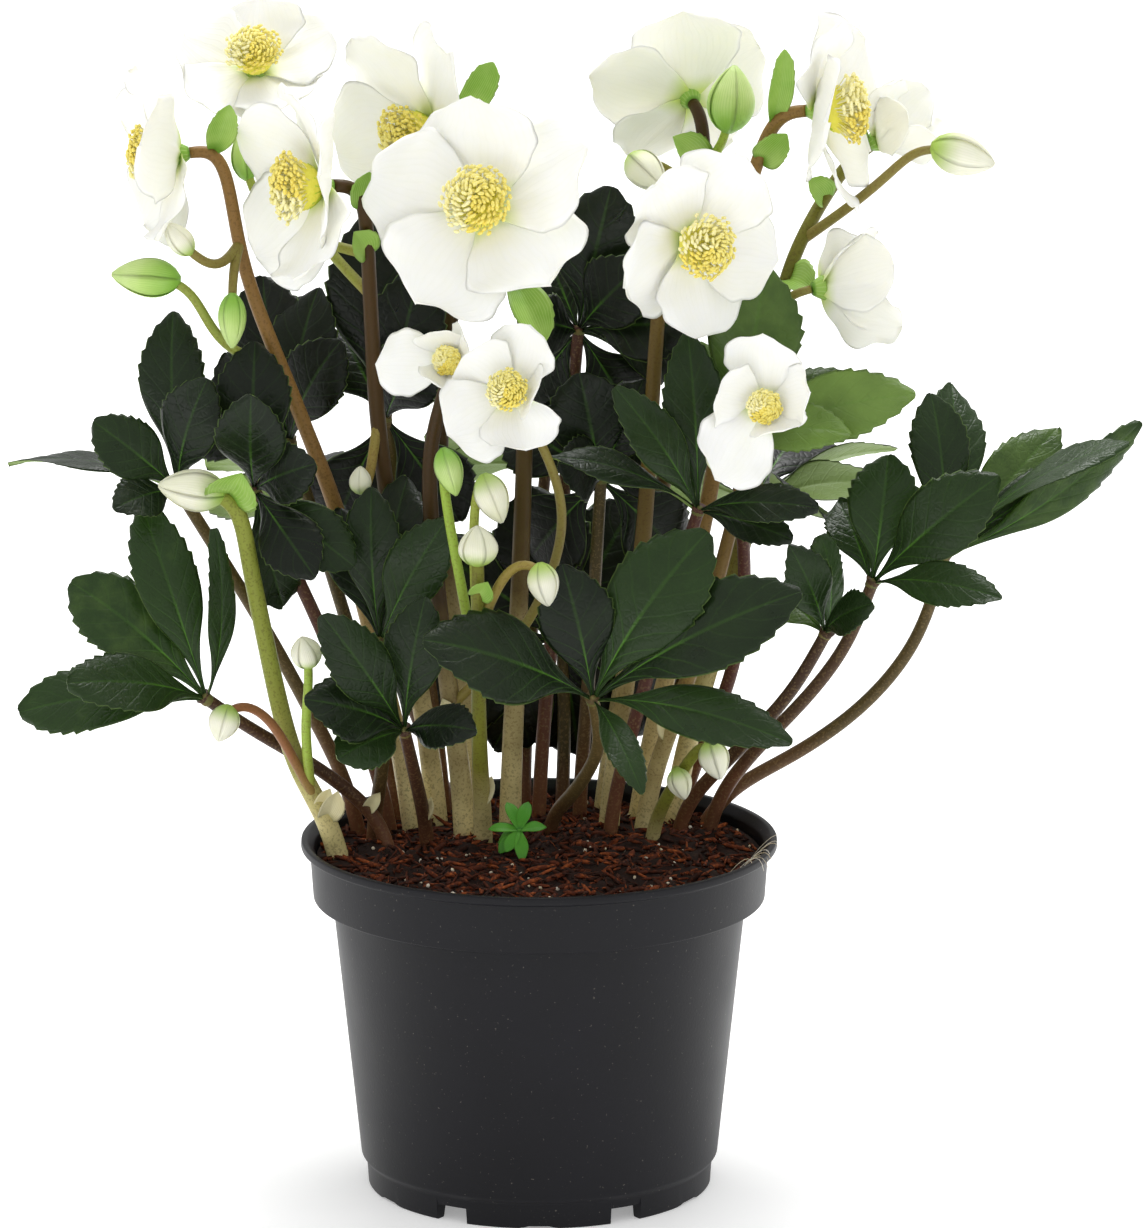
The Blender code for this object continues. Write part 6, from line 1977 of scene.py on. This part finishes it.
@dataclass
class SheathPiece:
    """The dry pale scales that the first stems leave standing at the soil."""

    plant: Plant
    feet: tuple = (("scape_bud_left", 0.05, (4, -4, 9), 6), ("leaf_front_left", 0.16, (3, -4, 9), 5),
                   ("leaf_low_left", 0.1, (5, -4, 8), 5), ("scape_middle", 0.14, (-4, -4, 10), 6),
                   ("buds_centre", 0.1, (4, -4, 11), 6), ("scape_middle_right", 0.12, (-3, -4, 10), 6))

    def build(self) -> bpy.types.Object:
        """Set a cupped scale against the foot of each of a few stems.

        Returns:
            The scales.
        """
        skins = []
        for name, share, reach, wide in self.feet:
            path = next(stem.path for stem in self.plant.stems if stem.owner == name and stem.rooted)
            root = point_at(path[path[:, 2] > SOIL_EDGE - 4.0], share)
            axes = blade_axes(np.array(reach, dtype=float), np.array((0.0, -1.0, 0.2)), 0.0)
            scale = Blade(root, axes, float(np.linalg.norm(reach)), wide, (26.0, -16.0), 0.3)
            skins.append(blade_skin(SHEATH_FORM, scale, share, 0))
        return make_piece("basal_sheaths", gathered(skins), (Finish.SHEATH,))


@dataclass
class Studio:
    """Plain pale floor, soft studio light and the photograph's point of view."""

    eye: tuple = (0.0117, -2.533, 0.793)
    pitch: float = 77.0
    lens: float = 215.2
    film: float = 36.0
    sky: float = 0.82
    target: tuple = (0.0, 0.0, 0.22)
    side: float = 6.0
    glow: float = 0.3
    lights: tuple = (("key", (-1.1, -1.6, 1.7), 0.9, 108.0), ("fill", (1.5, -1.1, 1.2), 1.2, 40.0),
                     ("top", (0.1, 0.9, 2.0), 1.2, 46.0))

    def camera(self) -> None:
        """The camera: a long lens two and a half metres away that looks a little down."""
        data = bpy.data.cameras.new("photo_view")
        data.sensor_fit = "VERTICAL"
        data.sensor_height = self.film
        data.lens = self.lens
        data.clip_end = 20.0
        camera = bpy.data.objects.new("photo_view", data)
        camera.location = self.eye
        camera.rotation_euler = (math.radians(self.pitch), 0.0, 0.0)
        bpy.context.scene.collection.objects.link(camera)
        bpy.context.scene.camera = camera

    def light(self, name: str, spot: tuple, size: float, power: float) -> None:
        """A square soft light that looks at the middle of the plant.

        Args:
            name: The light's name.
            spot: Where it hangs, in metres.
            size: Side of the square, in metres.
            power: Power in watts.
        """
        data = bpy.data.lights.new(name, "AREA")
        data.shape = "SQUARE"
        data.size = size
        data.energy = power
        lamp = bpy.data.objects.new(name, data)
        lamp.location = spot
        way = np.array(self.target) - np.array(spot)
        lamp.rotation_euler = (math.acos(way[2] / np.linalg.norm(way)) - math.pi, 0.0,
                               math.atan2(way[1], way[0]) - math.pi / 2.0)
        bpy.context.scene.collection.objects.link(lamp)

    def floor(self) -> None:
        """The floor: a wide square of white paper that glows a little, so that it stays white."""
        mesh = bpy.data.meshes.new("floor")
        corners = np.array(((-1, -1, 0), (1, -1, 0), (1, 1, 0), (-1, 1, 0))) * self.side
        mesh.from_pydata(corners.tolist(), [], [(0, 1, 2, 3)])
        paper = material_of(Finish.FLOOR)
        shader = paper.node_tree.nodes["Principled BSDF"]
        feed(shader, {"Emission Color": srgb("#ffffff"), "Emission Strength": self.glow})
        mesh.materials.append(paper)
        floor = bpy.data.objects.new("floor", mesh)
        bpy.context.scene.collection.objects.link(floor)

    def build(self) -> None:
        """Set the stage: floor, world, lights and camera."""
        self.floor()
        world = bpy.data.worlds.new("studio")
        world.use_nodes = True
        feed(world.node_tree.nodes["Background"], {"Color": srgb("#ffffff"), "Strength": self.sky})
        bpy.context.scene.world = world
        bpy.context.scene.view_settings.view_transform = "Standard"
        for light in self.lights:
            self.light(*light)
        self.camera()


def main() -> None:
    """Grow the plant, build every sub-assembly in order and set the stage."""
    logging.basicConfig(level=logging.INFO, format="%(message)s")
    plant = Plant()
    pieces = [PotPiece(), SoilPiece(), *map(BloomPiece, BLOOMS)]
    pieces += [ScapePiece(plant, scape) for scape in SCAPES]
    pieces += [LeafPiece(plant, leaf) for leaf in LEAVES]
    for piece in (*pieces, SeedlingPiece(), SheathPiece(plant), Studio()):
        piece.build()


if __name__ == "__main__":
    main()
